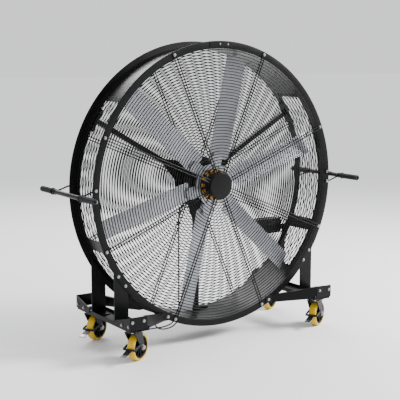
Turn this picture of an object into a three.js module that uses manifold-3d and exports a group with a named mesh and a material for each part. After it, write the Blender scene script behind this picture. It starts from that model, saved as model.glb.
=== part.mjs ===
// A mobile drum fan: a guarded impeller in a round drum, carried by two side trolleys on swivel castors.
// Millimetres, +Z up, the air leaves towards -Y, and the floor is z = 0.
import * as THREE from "three";
import { mergeVertices } from "three/addons/utils/BufferGeometryUtils.js";
import Module from "manifold-3d";

const wasm = await Module();
wasm.setup();

// ---------- driving sizes ----------
const GAP = 0.3; // between pieces that touch

// drum
const GROUND = 86; // from the floor to the drum
const RIM_R = 800; // outer radius of the two rims
const RIM_FACE = 38; // radial width of a rim's face
const RIM_LEG = 36; // width of the rim's leg along the drum
const RIM_T = 4;
const DRUM_DEPTH = 273; // front face of the front rim to rear face of the rear rim
const SHELL_T = 2.5;
const FACETS = 72; // flats round the drum, which every curved wall of it shares
const BOLT_INSET = 17; // from a rim's outer edge to its bolt circle

// meshed side windows, in flats from +X on the left side, mirrored on the right
const MESH_FROM = 28;
const MESH_TO = 45;
const MESH_PITCH = 2; // flats from one column of openings to the next
const MESH_ROWS = 3; // openings across the drum
const MESH_MARGIN = 44; // plain edge of the mesh next to each rim
const MESH_BAND = 5; // the column that is left plain, as a joining band
const MESH_STRAND = 0.3; // share of a row that is metal

// grilles
const WIRE = 6;
const GRILLE_RINGS = [0.345, 0.67, 1]; // shares of the outer ring's radius
const GRILLE_INSET = 10; // from a rim's leg to the outer ring
const GRILLE_FACETS = 32;
const SPOKES = 8;
const SPOKE_FIRST = 22.5;
const SPOKE_SPREAD = 16; // between the two wires of a spoke
const SPOKE_TAB = 20; // length of the tab that is bolted on the rim
const CAP_R = 75;
const CAP_T = 6;

// impeller
const BLADES = 6;
const BLADE_FIRST = 17.5;
const TIP_CLEAR = 27; // from a blade's tip to the drum's rims
const BLADE_CHORD = 118;
const BLADE_THICK = 15;
const BLADE_PITCH = 14.5;
const BLADE_SHIFT = 17; // from a blade's radial line to its mid chord
const BLADE_OFF = 38; // from the motor's front to the blades
const HUB_CORE_R = 60;
const HUB_FRONT_R = 118;
const HUB_BACK_R = 133;
const HUB_BOSS_R = 90;
const HUB_BOSS_H = 11;
const HUB_PLATE_T = 6;
const ROOT_DEPTH = 32;
const ROOT_WIDTH = 66;
const ROOT_NECK = 40; // how far the root reaches into the blade

// motor and its support
const MOTOR_R = 104;
const MOTOR_LENGTH = 105.7;
const MOTOR_FINS = 12;
const MOTOR_FIN_H = 8;
const SHAFT_R = 19;
const SHAFT_IN = 26; // length of the shaft inside the motor
const SHAFT_PLAY = 0.6;
const SPIDER_INSET = 38.5; // from the drum's rear edge to the motor's mounting plate
const SPIDER_PLATE_T = 8;
const SPIDER_DISC_R = 150;
const SPIDER_LOBE_R = 262;
const SPIDER_LOBE_W = 176; // width of a lobe where it leaves the disc
const SPIDER_ARM_W = 28;
const SPIDER_ARM_D = 30;
const SPIDER_ANGLES = [30, 150, 270];
const FOOT_T = 12;
const FOOT_DEPTH = 50;
const FOOT_INSET = 5; // from a foot to the drum's rear edge

// side trolleys
const RAIL_X = 622; // centre line of a side rail and of its castors
const RAIL_W = 116;
const RAIL_H = 24;
const RAIL_T = 5;
const RAIL_HALF = 302; // half its length
const RAIL_ABOVE = 31; // from the top of a wheel to a rail
const UPRIGHT_W = 85;
const UPRIGHT_T = 8;
const UPRIGHT_INSET = 29; // from a rail's centre line to an upright's inner edge
const UPRIGHT_FOOT = 60;
const UPRIGHT_FOOT_T = 6;
const ARM_T = 4;
const ARM_RAISE = 11; // from the rail's underside to the arm's
const ARM_PLATE_H = 70;
const ARM_KNEE = 42; // from a rail's centre line to where an arm turns inwards
const ARM_TAB_BESIDE = 49.4; // from the lowest spokes' bolts to the middle of an arm's tab
const ARM_TAB_W = 44;
const ARM_TAB_H = 42;
const ARM_FLANGE = 22;
const GUSSET_LENGTH = 156;
const GUSSET_TIP = 26; // height of the gusset where it runs out

// castors
const CASTOR_Y = 232;
const WHEEL_R = 75;
const WHEEL_W = 45;
const WHEEL_FACETS = 24;
const TYRE_T = 13;
const AXLE_R = 8;
const AXLE_PLAY = 1;
const HUB_WALL = 13; // radial thickness of a wheel's hub
const CASTOR_TRAIL = 40;
const CASTOR_TURN = 27; // where the wheels trail, degrees from +X towards +Y
const PLATE_X = 84;
const PLATE_Y = 105;
const PLATE_T = 5;
const RACE_R = 31;
const RACE_H = 9;
const CROWN_T = 4;
const FORK_T = 5;
const FORK_CLEAR = 3.5; // between the fork and the wheel's hub
const FORK_TOP_W = 74;
const FORK_TIP_W = 34;
const NUT_R = 13;
const NUT_H = 9;
const PEDAL_W = 34;
const PEDAL_T = 4;
const PEDAL_LENGTH = 62;
const PEDAL_DROP = 24; // from the pedal's root down to its toe
const PEDAL_CLEAR = 7; // between the tyre and the pedal
const CHEEK_T = 3;
const PIVOT_X = 20; // the pedal's pivot, before the axle and above it
const PIVOT_UP = 17;
const PIVOT_R = 9; // of the pedal's end round its pivot

// handles
const HANDLE_OUT = 78; // from the rims to a handle's bar
const HANDLE_HALF = 307; // half the distance between the grips' ends
const HANDLE_R = 12.5;
const HANDLE_FACETS = 12;
const GRIP_WALL = 3.5;
const GRIP_COLLAR = 3;
const GRIP_LENGTH = 140;
const GRIP_END_T = 5;
const BRACKET_HALF = 29; // half the distance between a bracket's two bolts
const BRACKET_ROD_R = 4.5;
const EYE_R = 13;
const EYE_T = 5;

// control box, behind the rear rim at the lower right
const BOX_X = 566;
const BOX_BELOW = 29.4; // from the bolt of the lower right spoke down to the box's middle
const BOX_W = 206;
const BOX_D = 62;
const BOX_H = 90;
const BOX_STANDOFF = 12; // from the grille to the box
const BOX_LID = 8;
const BOX_BRACKET_T = 4;
const BOX_BRACKET_H = 34;
const BOX_BRACKET_DOWN = 10; // below the box's middle
const BOX_FOOT_W = 22;
const KNOB_IN = 50; // from the box's middle
const KNOB_R = 17;
const KNOB_H = 18;

// mains cord
const CORD_R = 4;
const CORD_STEPS = 62;
const HOLE_PLAY = 2;
const GLAND_R = 10;
const GLAND_LENGTH = 40;
const GLAND_ANGLE = 225;
const CORD_X = -150; // where the cord passes through the drum's floor
const CORD_Y = 62;
const HOOK_X = -244;
const HOOK_Z = 141; // height of the tongue that the cord's loop hangs on
const HOOK_W = 18;
const HOOK_T = 3;
const HOOK_REACH = 30;
const HOOK_LIP = 9;
const COIL_X = 130;
const COIL_Y = 300;
const COIL_R = 48.5; // to the middle of the turns
const COIL_W = 37;
const COIL_H = 20;
const TURN_R = 61; // of the outermost turn, which the cord runs into
const PLUG_R = 17;
const PLUG_LENGTH = 42;
const PLUG_Z = 17.3;
const SLEEVE_R = 6;
const SLEEVE_LENGTH = 30;
const PIN_R = 2.4;
const PIN_LENGTH = 19;
const PIN_SPREAD = 19;

// ---------- what follows from them ----------
const rad = THREE.MathUtils.degToRad;
const onCircle = (radius, degrees) => [radius * Math.cos(rad(degrees)), radius * Math.sin(rad(degrees))];
const HALF_DEPTH = DRUM_DEPTH / 2;
const AXIS_Z = GROUND + RIM_R; // height of the impeller's axis
const LEG_R = RIM_R - RIM_FACE;
const SHELL_R = LEG_R - GAP;
const SHELL_IN = SHELL_R - SHELL_T;
const BOLT_R = RIM_R - BOLT_INSET;
const FLAT = 360 / FACETS;
const FACE_Y = HALF_DEPTH + GAP; // what is bolted on a rim starts here
const RING_R = LEG_R - GRILLE_INSET;
const RAIL_Z = 2 * WHEEL_R + RAIL_ABOVE; // underside of a rail, which is the castors' height
const RAIL_OUT = RAIL_X + RAIL_W / 2;
const UPRIGHT_INNER_X = RAIL_X - UPRIGHT_INSET;
const ARM_KNEE_X = RAIL_X - ARM_KNEE;
const ARM_TAB_X = onCircle(BOLT_R, SPOKE_FIRST + 270)[0] + ARM_TAB_BESIDE;
const CASTOR_TOP = RAIL_Z - GAP;
const RACE_TOP = CASTOR_TOP - PLATE_T;
const FORK_TOP = RACE_TOP - RACE_H - GAP;
const WHEEL_HALF = WHEEL_W / 2;
const TREAD_R = WHEEL_R / Math.cos(Math.PI / WHEEL_FACETS); // the flats touch the wheel's circle
const HUB_HALF = WHEEL_HALF + 2.5;
const FORK_IN = HUB_HALF + FORK_CLEAR;
const BOX_Y = FACE_Y + WIRE + BOX_STANDOFF;
const BOX_Z = AXIS_Z + onCircle(BOLT_R, -SPOKE_FIRST)[1] - BOX_BELOW;
const SPIDER_Y = HALF_DEPTH - SPIDER_INSET;
const MOTOR_REAR_Y = SPIDER_Y - GAP;
const MOTOR_FRONT_Y = MOTOR_REAR_Y - MOTOR_LENGTH;
const BLADE_Y = MOTOR_FRONT_Y - BLADE_OFF;
const BLADE_TIP_R = LEG_R - TIP_CLEAR;
const ROOT_FRONT = BLADE_Y - ROOT_DEPTH / 2;
const ROOT_BACK = BLADE_Y + ROOT_DEPTH / 2;
const HANDLE_X = RIM_R + HANDLE_OUT;
const GRIP_R = HANDLE_R + GRIP_WALL;

// ---------- materials ----------
const finish = (color, roughness, metalness) => new THREE.MeshStandardMaterial({ color, roughness, metalness });
const FRAME_BLACK = finish(0x1d1d1f, 0.5, 0.2);
const SHEET_BLACK = finish(0x26272a, 0.45, 0.3);
const WIRE_BLACK = finish(0x161617, 0.45, 0.2);
const ALLOY = finish(0xa9adb4, 0.38, 0.85);
const MOTOR_GREY = finish(0x303236, 0.55, 0.3);
const FORK_GREY = finish(0x2b2c2f, 0.5, 0.4);
const ZINC = finish(0xb9bcc0, 0.35, 0.9);
const YELLOW = finish(0xd9ac1c, 0.5, 0);
const CORE_BLACK = finish(0x151516, 0.6, 0);
const GRIP_RUBBER = finish(0x2c2d31, 0.75, 0);
const CABLE = finish(0x151517, 0.6, 0);
const PLASTIC = finish(0x222327, 0.5, 0);

// ---------- solids ----------
const [PLUS_X, PLUS_Y, PLUS_Z] = [[1, 0, 0], [0, 1, 0], [0, 0, 1]].map((axis) => new THREE.Vector3(...axis));
const drop = (radius, x) => Math.sqrt(radius ** 2 - x ** 2); // height of a circle above its centre, at x

const manifoldOf = (vertProperties, corners) =>
  new wasm.Manifold(new wasm.Mesh({ numProp: 3, vertProperties, triVerts: Uint32Array.from(corners) }));

// A closed geometry as a solid, its faces turned outwards.
function solid(geometry) {
  const bare = geometry.clone();
  bare.deleteAttribute("normal");
  bare.deleteAttribute("uv");
  const merged = mergeVertices(bare, 1e-4);
  const corners = [];
  for (let i = 0; i < merged.index.count; i += 3) {
    const [a, b, c] = [0, 1, 2].map((k) => merged.index.getX(i + k));
    if (a !== b && b !== c && a !== c) corners.push(a, b, c);
  }
  const made = manifoldOf(merged.attributes.position.array, corners);
  return made.volume() < 0 ? manifoldOf(merged.attributes.position.array, corners.reverse()) : made;
}

const join = (first, ...rest) => rest.reduce((sum, piece) => sum.add(piece), first);
const cut = (first, ...rest) => rest.reduce((sum, piece) => sum.subtract(piece), first);
const turnY = (made, degrees) => made.rotate([0, -degrees, 0]); // from +X towards +Z
const mirrorY = (made) => made.mirror([0, 1, 0]);

function node(parent, name, made, material) {
  const mesh = made.getMesh();
  const geometry = new THREE.BufferGeometry();
  geometry.setAttribute("position", new THREE.BufferAttribute(new Float32Array(mesh.vertProperties), 3));
  geometry.setIndex(new THREE.BufferAttribute(new Uint32Array(mesh.triVerts), 1));
  const faceted = geometry.toNonIndexed();
  faceted.computeVertexNormals();
  const placed = new THREE.Mesh(faceted, material);
  placed.name = name;
  parent.add(placed);
  return placed;
}

function group(parent, x = 0, y = 0, z = 0) {
  const made = new THREE.Group();
  made.position.set(x, y, z);
  parent.add(made);
  return made;
}

// A box between its lowest and highest corners.
function block(low, high) {
  const size = high.map((value, i) => value - low[i]);
  const geometry = new THREE.BoxGeometry(...size);
  geometry.translate(...low.map((value, i) => value + size[i] / 2));
  return solid(geometry);
}

// A disc about the Y axis from y0 to y1, which tapers to a second radius if one is given.
function disc(radius, y0, y1, facets, endRadius = radius) {
  const geometry = new THREE.CylinderGeometry(endRadius, radius, y1 - y0, facets);
  geometry.translate(0, (y0 + y1) / 2, 0);
  return solid(geometry);
}

// A disc about the Z axis, from z0 to z1.
const flatDisc = (radius, z0, z1, facets) => disc(radius, z0, z1, facets).rotate([90, 0, 0]);

// A ring about the Y axis, whose section is a closed list of [radius, y].
function ring(section, facets) {
  const points = [...section, section[0]].map(([r, y]) => new THREE.Vector2(r, y));
  return solid(new THREE.LatheGeometry(points, facets));
}

const hoop = (inner, outer, y0, y1, facets) =>
  ring([[inner, y0], [outer, y0], [outer, y1], [inner, y1]], facets);

const shapeOf = (points) => new THREE.Shape(points.map(([a, b]) => new THREE.Vector2(a, b)));

// A flat shape in X and Z, thick from y0 to y1.
function plateXZ(points, y0, y1) {
  const geometry = new THREE.ExtrudeGeometry(shapeOf(points), { depth: y1 - y0, bevelEnabled: false });
  geometry.rotateX(Math.PI / 2);
  geometry.translate(0, y1, 0);
  return solid(geometry);
}

// A sheet that stands on edge: its shape runs along a level direction and up, from a foot point,
// and its thickness goes across.
function standing(points, thickness, along, across, foot) {
  const geometry = new THREE.ExtrudeGeometry(shapeOf(points), { depth: thickness, bevelEnabled: false });
  geometry.applyMatrix4(new THREE.Matrix4().makeBasis(along, PLUS_Z, across));
  geometry.translate(...foot);
  return solid(geometry);
}

// A part of a round wall about the Y axis, from one flat of the drum to another.
function wall(inner, outer, fromFlat, toFlat, y0, y1, inset = 0) {
  const angles = [];
  for (let flat = fromFlat; flat <= toFlat; flat++) angles.push(flat * FLAT);
  const edge = THREE.MathUtils.radToDeg(inset / outer);
  angles[0] += edge;
  angles[angles.length - 1] -= edge;
  const arc = (radius) => angles.map((angle) => onCircle(radius, angle));
  return plateXZ([...arc(outer), ...arc(inner).reverse()], y0, y1);
}

// A straight round bar between two points.
function bar(from, to, radius, facets) {
  const [a, b] = [new THREE.Vector3(...from), new THREE.Vector3(...to)];
  const along = b.clone().sub(a);
  const geometry = new THREE.CylinderGeometry(radius, radius, along.length(), facets);
  geometry.applyQuaternion(new THREE.Quaternion().setFromUnitVectors(PLUS_Y, along.normalize()));
  geometry.translate(...a.add(b).multiplyScalar(0.5).toArray());
  return solid(geometry);
}

// ---------- drum, about its own axis ----------
function frontRim() {
  const front = -HALF_DEPTH;
  return ring(
    [
      [LEG_R, front],
      [RIM_R, front],
      [RIM_R, front + RIM_T],
      [LEG_R + RIM_T, front + RIM_T],
      [LEG_R + RIM_T, front + RIM_LEG],
      [LEG_R, front + RIM_LEG],
    ],
    FACETS,
  );
}

const shell = (fromFlat, toFlat) => wall(SHELL_IN, SHELL_R, fromFlat, toFlat, -HALF_DEPTH, HALF_DEPTH, GAP / 2);

// Staggered lozenges, long along the wall, with one plain column as a joining band.
function sideMesh() {
  const pitch = (DRUM_DEPTH - 2 * MESH_MARGIN) / MESH_ROWS;
  const halfWidth = (pitch / 2) * (1 - MESH_STRAND);
  const halfLength = SHELL_R * rad(FLAT) * (MESH_PITCH - 1) * (1 - MESH_STRAND / 2);
  const lozenge = new THREE.ExtrudeGeometry(
    shapeOf([[-halfWidth, 0], [0, -halfLength], [halfWidth, 0], [0, halfLength]]),
    { depth: 40, bevelEnabled: false },
  );
  lozenge.applyMatrix4(new THREE.Matrix4().makeBasis(PLUS_Y, PLUS_Z, PLUS_X));
  const hole = solid(lozenge).translate([SHELL_R - 20, 0, 0]);
  const columns = Math.floor((MESH_TO - MESH_FROM - 1) / MESH_PITCH);
  const holes = [];
  for (let column = 0; column < columns; column++) {
    const odd = column % 2;
    for (let row = 0; row < MESH_ROWS - odd && column !== MESH_BAND; row++) {
      const y = -HALF_DEPTH + MESH_MARGIN + pitch * (row + 0.5 + odd / 2);
      holes.push(turnY(hole.translate([0, y, 0]), (MESH_FROM + 1.5 + MESH_PITCH * column) * FLAT));
    }
  }
  return cut(shell(MESH_FROM, MESH_TO), ...holes);
}

function addDrum(parent) {
  const drum = group(parent, 0, 0, AXIS_Z);
  const rim = frontRim();
  const half = FACETS / 2;
  const mesh = sideMesh();
  const low = -drop(SHELL_R, CORD_X);
  const hole = flatDisc(CORD_R + HOLE_PLAY, low - 30, low + 30, 12).translate([CORD_X, CORD_Y, 0]);
  node(drum, "front_rim", rim, FRAME_BLACK);
  node(drum, "rear_rim", mirrorY(rim), FRAME_BLACK);
  node(drum, "shell_top", shell(half - MESH_FROM, MESH_FROM), SHEET_BLACK);
  node(drum, "shell_bottom", cut(shell(MESH_TO, 3 * half - MESH_TO), hole), SHEET_BLACK);
  node(drum, "side_mesh_left", mesh, SHEET_BLACK);
  node(drum, "side_mesh_right", mesh, SHEET_BLACK).scale.x = -1;
}

// ---------- grilles, about the drum's axis ----------
function spoke(degrees) {
  const [half, spread] = [WIRE / 2, SPOKE_SPREAD / 2];
  const y0 = -FACE_Y - WIRE;
  const tabFrom = BOLT_R - SPOKE_TAB / 2;
  const wireAt = (z) => block([CAP_R - 20, y0, z - half], [tabFrom + 1, -FACE_Y, z + half]);
  const wires = [wireAt(-spread), wireAt(spread)];
  const tab = block([tabFrom, y0, -spread - half], [tabFrom + SPOKE_TAB, -FACE_Y, spread + half]);
  return turnY(join(...wires, tab), degrees);
}

// Rings welded behind the spokes; the front one has a cap over the hub, the rear one an open ring.
function grille(capped) {
  const back = -FACE_Y - 1;
  const half = WIRE / 2;
  const spokes = Array.from({ length: SPOKES }, (_, i) => spoke(SPOKE_FIRST + (i * 360) / SPOKES));
  const rings = GRILLE_RINGS.map((share) =>
    hoop(RING_R * share - half, RING_R * share + half, back, back + WIRE, GRILLE_FACETS),
  );
  const capY = -FACE_Y - WIRE;
  const centre = capped
    ? disc(CAP_R, capY - CAP_T, capY + 2, GRILLE_FACETS)
    : hoop(CAP_R - 22, CAP_R, capY - 2, capY + 2, GRILLE_FACETS);
  return join(...spokes, ...rings, centre);
}

// ---------- impeller, about the drum's axis ----------
// The boss, the two plates that hold the blades between them, and the shaft.
function hub() {
  const front = ROOT_FRONT - GAP;
  const back = ROOT_BACK + GAP;
  return join(
    disc(HUB_BOSS_R, front - HUB_PLATE_T - HUB_BOSS_H, front - 1, 28),
    disc(HUB_FRONT_R, front - HUB_PLATE_T, front, 32),
    disc(HUB_CORE_R, front - 1, back + 1, 24),
    disc(HUB_BACK_R, back, back + HUB_PLATE_T, 32),
    disc(SHAFT_R, back + 1, MOTOR_FRONT_Y + SHAFT_IN, 16),
  );
}

// A straight wing of one section along +X, its root block between the hub's plates.
function blade() {
  const [half, thick] = [BLADE_CHORD / 2, BLADE_THICK];
  const wing = new THREE.Shape();
  wing.moveTo(-half, 0);
  wing.quadraticCurveTo(-half, thick * 0.6, -half * 0.4, thick * 0.7);
  wing.quadraticCurveTo(half * 0.3, thick * 0.62, half, 0);
  wing.quadraticCurveTo(half * 0.2, 0, -half * 0.45, -thick * 0.3);
  wing.quadraticCurveTo(-half, -thick * 0.3, -half, 0);
  const from = HUB_BACK_R + 2;
  const depth = BLADE_TIP_R - from;
  const geometry = new THREE.ExtrudeGeometry(wing, { depth, bevelEnabled: false, curveSegments: 3 });
  geometry.rotateZ(-rad(BLADE_PITCH));
  geometry.applyMatrix4(new THREE.Matrix4().makeBasis(PLUS_Z.clone().negate(), PLUS_Y, PLUS_X));
  geometry.translate(from, BLADE_Y, -BLADE_SHIFT);
  const width = ROOT_WIDTH / 2;
  const root = block([HUB_CORE_R + 6, ROOT_FRONT, -width], [from + 1, ROOT_BACK, width]);
  const neck = block([from, ROOT_FRONT + 3, -width], [from + ROOT_NECK, ROOT_BACK - 3, width]);
  return join(solid(geometry), root, neck);
}

function addImpeller(parent) {
  const impeller = group(parent, 0, 0, AXIS_Z);
  node(impeller, "impeller_hub", hub(), ALLOY);
  const shape = blade();
  for (let i = 0; i < BLADES; i++) {
    node(impeller, "blade_" + (i + 1), shape, ALLOY).rotation.y = -rad(BLADE_FIRST + (i * 360) / BLADES);
  }
}

// ---------- motor and its support, about the drum's axis ----------
function motor() {
  const body = join(
    disc(MOTOR_R - 10, MOTOR_FRONT_Y, MOTOR_FRONT_Y + 14, 24),
    disc(MOTOR_R, MOTOR_FRONT_Y + 12, MOTOR_REAR_Y - 12, 24),
    disc(MOTOR_R - 8, MOTOR_REAR_Y - 13, MOTOR_REAR_Y, 24),
  );
  const fin = block([MOTOR_R - 6, MOTOR_FRONT_Y + 20, -2], [MOTOR_R + MOTOR_FIN_H, MOTOR_REAR_Y - 20, 2]);
  const fins = Array.from({ length: MOTOR_FINS }, (_, i) => turnY(fin, (i * 360) / MOTOR_FINS));
  const bore = disc(SHAFT_R + SHAFT_PLAY, MOTOR_FRONT_Y - 5, MOTOR_FRONT_Y + SHAFT_IN + 2, 16);
  return cut(join(body, ...fins), bore);
}

// A disc with three lobes, a beam to the drum's wall from each, and a foot along the wall.
function spider() {
  const inner = SHELL_IN - GAP;
  const half = SPIDER_ARM_W / 2;
  const back = SPIDER_Y + SPIDER_PLATE_T;
  const lobe = plateXZ(
    [[60, -SPIDER_LOBE_W / 2], [SPIDER_LOBE_R, -half], [SPIDER_LOBE_R, half], [60, SPIDER_LOBE_W / 2]],
    SPIDER_Y,
    back,
  );
  const footBack = HALF_DEPTH - FOOT_INSET;
  const foot = wall(inner - FOOT_T, inner, -1, 1, footBack - FOOT_DEPTH, footBack);
  const beam = block([SPIDER_DISC_R - 10, SPIDER_Y, -half], [inner - FOOT_T + 3, SPIDER_Y + SPIDER_ARM_D, half]);
  const arm = join(lobe, beam, foot);
  const arms = SPIDER_ANGLES.map((angle) => turnY(arm, angle));
  return join(disc(SPIDER_DISC_R, SPIDER_Y, back, 36), ...arms);
}

// ---------- control box ----------
// The box on a flat bracket, whose foot is bolted on the rear rim's face.
function controlBox() {
  const [x0, x1] = [BOX_X - BOX_W / 2, BOX_X + BOX_W / 2];
  const [z0, z1] = [BOX_Z - BOX_H / 2, BOX_Z + BOX_H / 2];
  const lip = 2;
  const middle = BOX_Z - BOX_BRACKET_DOWN;
  const [low, high] = [middle - BOX_BRACKET_H / 2, middle + BOX_BRACKET_H / 2];
  const footFrom = drop(LEG_R, AXIS_Z - high) + lip;
  const plateY = BOX_Y - BOX_BRACKET_T;
  return join(
    block([x0, BOX_Y, z0], [x1, BOX_Y + BOX_D, z1]),
    block([x0 - lip, BOX_Y + BOX_D - BOX_LID, z0 - lip], [x1 + lip, BOX_Y + BOX_D, z1 + lip]),
    block([BOX_X, plateY, low], [footFrom + BOX_FOOT_W, BOX_Y + 1, high]),
    block([footFrom, FACE_Y, low], [footFrom + BOX_FOOT_W, plateY + 1, high]),
  );
}

function speedKnob() {
  const y0 = BOX_Y + BOX_D + GAP;
  const ridge = block([-3, y0 + KNOB_H - 2, -KNOB_R + 2], [3, y0 + KNOB_H + 4, KNOB_R - 2]);
  return join(disc(KNOB_R, y0, y0 + KNOB_H, 20), ridge);
}

// ---------- side trolley, right side and front end ----------
function sideRail() {
  const half = RAIL_W / 2;
  const flange = (x) => block([x, -RAIL_HALF, RAIL_Z], [x + RAIL_T, RAIL_HALF, RAIL_Z + RAIL_H]);
  return join(
    block([RAIL_X - half, -RAIL_HALF, RAIL_Z], [RAIL_X + half, RAIL_HALF, RAIL_Z + RAIL_T]),
    flange(RAIL_X - half),
    flange(RAIL_X + half - RAIL_T),
  );
}

// A flat post behind the rim's face, its top cut to the rim's leg, its foot on the rail's web.
function upright() {
  const y0 = -HALF_DEPTH + RIM_T + GAP;
  const low = RAIL_Z + RAIL_T + GAP;
  const outer = UPRIGHT_INNER_X + UPRIGHT_W;
  const legClear = LEG_R + RIM_T + GAP;
  const top = AXIS_Z - drop(legClear + 4, outer);
  const inRail = RAIL_OUT - RAIL_T - GAP;
  const post = join(
    block([UPRIGHT_INNER_X, y0, low], [inRail, y0 + UPRIGHT_T, top]),
    block([UPRIGHT_INNER_X, y0, RAIL_Z + RAIL_H + GAP], [outer, y0 + UPRIGHT_T, top]),
    block([UPRIGHT_INNER_X, y0, low], [inRail, y0 + UPRIGHT_FOOT, low + UPRIGHT_FOOT_T]),
  );
  return cut(post, disc(legClear, y0 - 1, y0 + UPRIGHT_T + 1, FACETS).translate([0, 0, AXIS_Z]));
}

// A bent sheet: a plate across the rail's end, a gusset along the rail's side, a slanting web
// with a flange along its top, and a tab bolted on the rim's face.
function crossArm() {
  const outY = -RAIL_HALF - GAP - ARM_T;
  const tabY = -FACE_Y - ARM_T;
  const low = RAIL_Z + ARM_RAISE;
  const high = low + ARM_PLATE_H;
  const sideX = RAIL_OUT + GAP;
  const tabEnd = ARM_TAB_X + ARM_TAB_W / 2;
  const tabZ = AXIS_Z - drop(BOLT_R, ARM_TAB_X);
  const [tabLow, tabHigh] = [tabZ - ARM_TAB_H / 2, tabZ + ARM_TAB_H / 2];
  const run = new THREE.Vector3(ARM_KNEE_X - tabEnd, outY - tabY, 0);
  const length = run.length();
  const along = run.normalize();
  const across = new THREE.Vector3(-along.y, along.x, 0);
  const foot = [tabEnd, tabY, 0];
  const web = [[0, tabLow], [length, low], [length, high], [0, tabHigh]];
  const strip = [[0, tabHigh - ARM_T], [length, high - ARM_T], [length, high], [0, tabHigh]];
  const gusset = [[0, low], [GUSSET_LENGTH, low], [GUSSET_LENGTH, low + GUSSET_TIP], [0, high]];
  const whole = join(
    block([ARM_KNEE_X, outY, low], [sideX + ARM_T, outY + ARM_T, high]),
    standing(gusset, ARM_T, PLUS_Y, PLUS_X, [sideX, outY, 0]),
    standing(web, ARM_T, along, across, foot),
    standing(strip, ARM_FLANGE, along, across, foot),
    block([ARM_TAB_X - ARM_TAB_W / 2, tabY, tabLow], [tabEnd + 1, tabY + ARM_T, tabHigh]),
  );
  const overRail = block([RAIL_X - RAIL_W / 2 - GAP, -RAIL_HALF - GAP, 0], [sideX, 0, RAIL_Z + RAIL_H + GAP]);
  return cut(whole, overRail, block([0, -FACE_Y, 0], [ARM_KNEE_X, 0, AXIS_Z]));
}

// ---------- castor, at its swivel axis with the wheel trailing along +X ----------
function castorPlate() {
  const plate = block([-PLATE_X / 2, -PLATE_Y / 2, RACE_TOP], [PLATE_X / 2, PLATE_Y / 2, CASTOR_TOP]);
  return join(plate, flatDisc(RACE_R, RACE_TOP - RACE_H, RACE_TOP + 1, 20));
}

function castorFork() {
  const crownLow = FORK_TOP - CROWN_T;
  const outer = FORK_IN + FORK_T;
  const [half, tip] = [FORK_TOP_W / 2, FORK_TIP_W / 2];
  const leg = [
    [-half, FORK_TOP],
    [CASTOR_TRAIL - tip, WHEEL_R],
    [CASTOR_TRAIL - tip / 2, WHEEL_R - tip],
    [CASTOR_TRAIL + tip / 2, WHEEL_R - tip],
    [CASTOR_TRAIL + tip, WHEEL_R],
    [half, FORK_TOP],
  ];
  const across = (reach, radius, facets) =>
    bar([CASTOR_TRAIL, -reach, WHEEL_R], [CASTOR_TRAIL, reach, WHEEL_R], radius, facets);
  const nuts = cut(across(outer + NUT_H, NUT_R, 6), across(FORK_IN, NUT_R + 2, 6));
  return join(
    flatDisc(RACE_R + 5, crownLow, FORK_TOP, 20),
    block([-half, -outer, crownLow], [half, outer, FORK_TOP]),
    plateXZ(leg, -outer, -FORK_IN),
    plateXZ(leg, FORK_IN, outer),
    nuts,
    across(outer, AXLE_R, 12),
  );
}

// A ring about the axle, turned so that it stands on one of its flats.
const onAxle = (section) =>
  turnY(ring(section, WHEEL_FACETS), 180 / WHEEL_FACETS).translate([CASTOR_TRAIL, 0, WHEEL_R]);

function castorTyre() {
  const inner = TREAD_R - TYRE_T;
  return onAxle([
    [inner, -WHEEL_HALF],
    [TREAD_R - 6, -WHEEL_HALF],
    [TREAD_R, -WHEEL_HALF + 8],
    [TREAD_R, WHEEL_HALF - 8],
    [TREAD_R - 6, WHEEL_HALF],
    [inner, WHEEL_HALF],
  ]);
}

function castorCore() {
  const bore = AXLE_R + AXLE_PLAY;
  const outer = TREAD_R - TYRE_T - GAP;
  const side = [
    [bore, HUB_HALF],
    [bore + HUB_WALL, HUB_HALF],
    [outer - 8, WHEEL_HALF - 10],
    [outer, WHEEL_HALF - 2],
  ];
  const other = side.map(([r, y]) => [r, -y]).reverse();
  return onAxle([...side, ...other]);
}

// The pedal stands out from the tyre on the side away from the trail, on two cheeks outside the fork's legs.
function brakePedal() {
  const rootX = CASTOR_TRAIL - WHEEL_R - PEDAL_CLEAR;
  const rootZ = WHEEL_R - PEDAL_T;
  const toeX = rootX - PEDAL_LENGTH;
  const [pivotX, pivotZ] = [CASTOR_TRAIL - PIVOT_X, WHEEL_R + PIVOT_UP];
  const cheekIn = FORK_IN + FORK_T + GAP;
  const tongue = [
    [rootX, rootZ],
    [rootX, rootZ + PEDAL_T],
    [toeX, rootZ + PEDAL_T - PEDAL_DROP],
    [toeX, rootZ - PEDAL_DROP],
  ];
  const cheek = [
    [rootX - PEDAL_T, rootZ],
    [rootX - PEDAL_T, rootZ + 3 * PEDAL_T],
    [pivotX - PIVOT_R / 2, pivotZ + PIVOT_R],
    [pivotX + PIVOT_R, pivotZ + PIVOT_R / 2],
    [pivotX + PIVOT_R, pivotZ - PIVOT_R / 2],
    [pivotX - PIVOT_R / 2, pivotZ - PIVOT_R],
  ];
  return join(
    plateXZ(tongue, -PEDAL_W / 2, PEDAL_W / 2),
    block([rootX - PEDAL_T, -cheekIn - CHEEK_T, rootZ], [rootX, cheekIn + CHEEK_T, rootZ + 3 * PEDAL_T]),
    plateXZ(cheek, cheekIn, cheekIn + CHEEK_T),
    plateXZ(cheek, -cheekIn - CHEEK_T, -cheekIn),
  );
}

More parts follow.
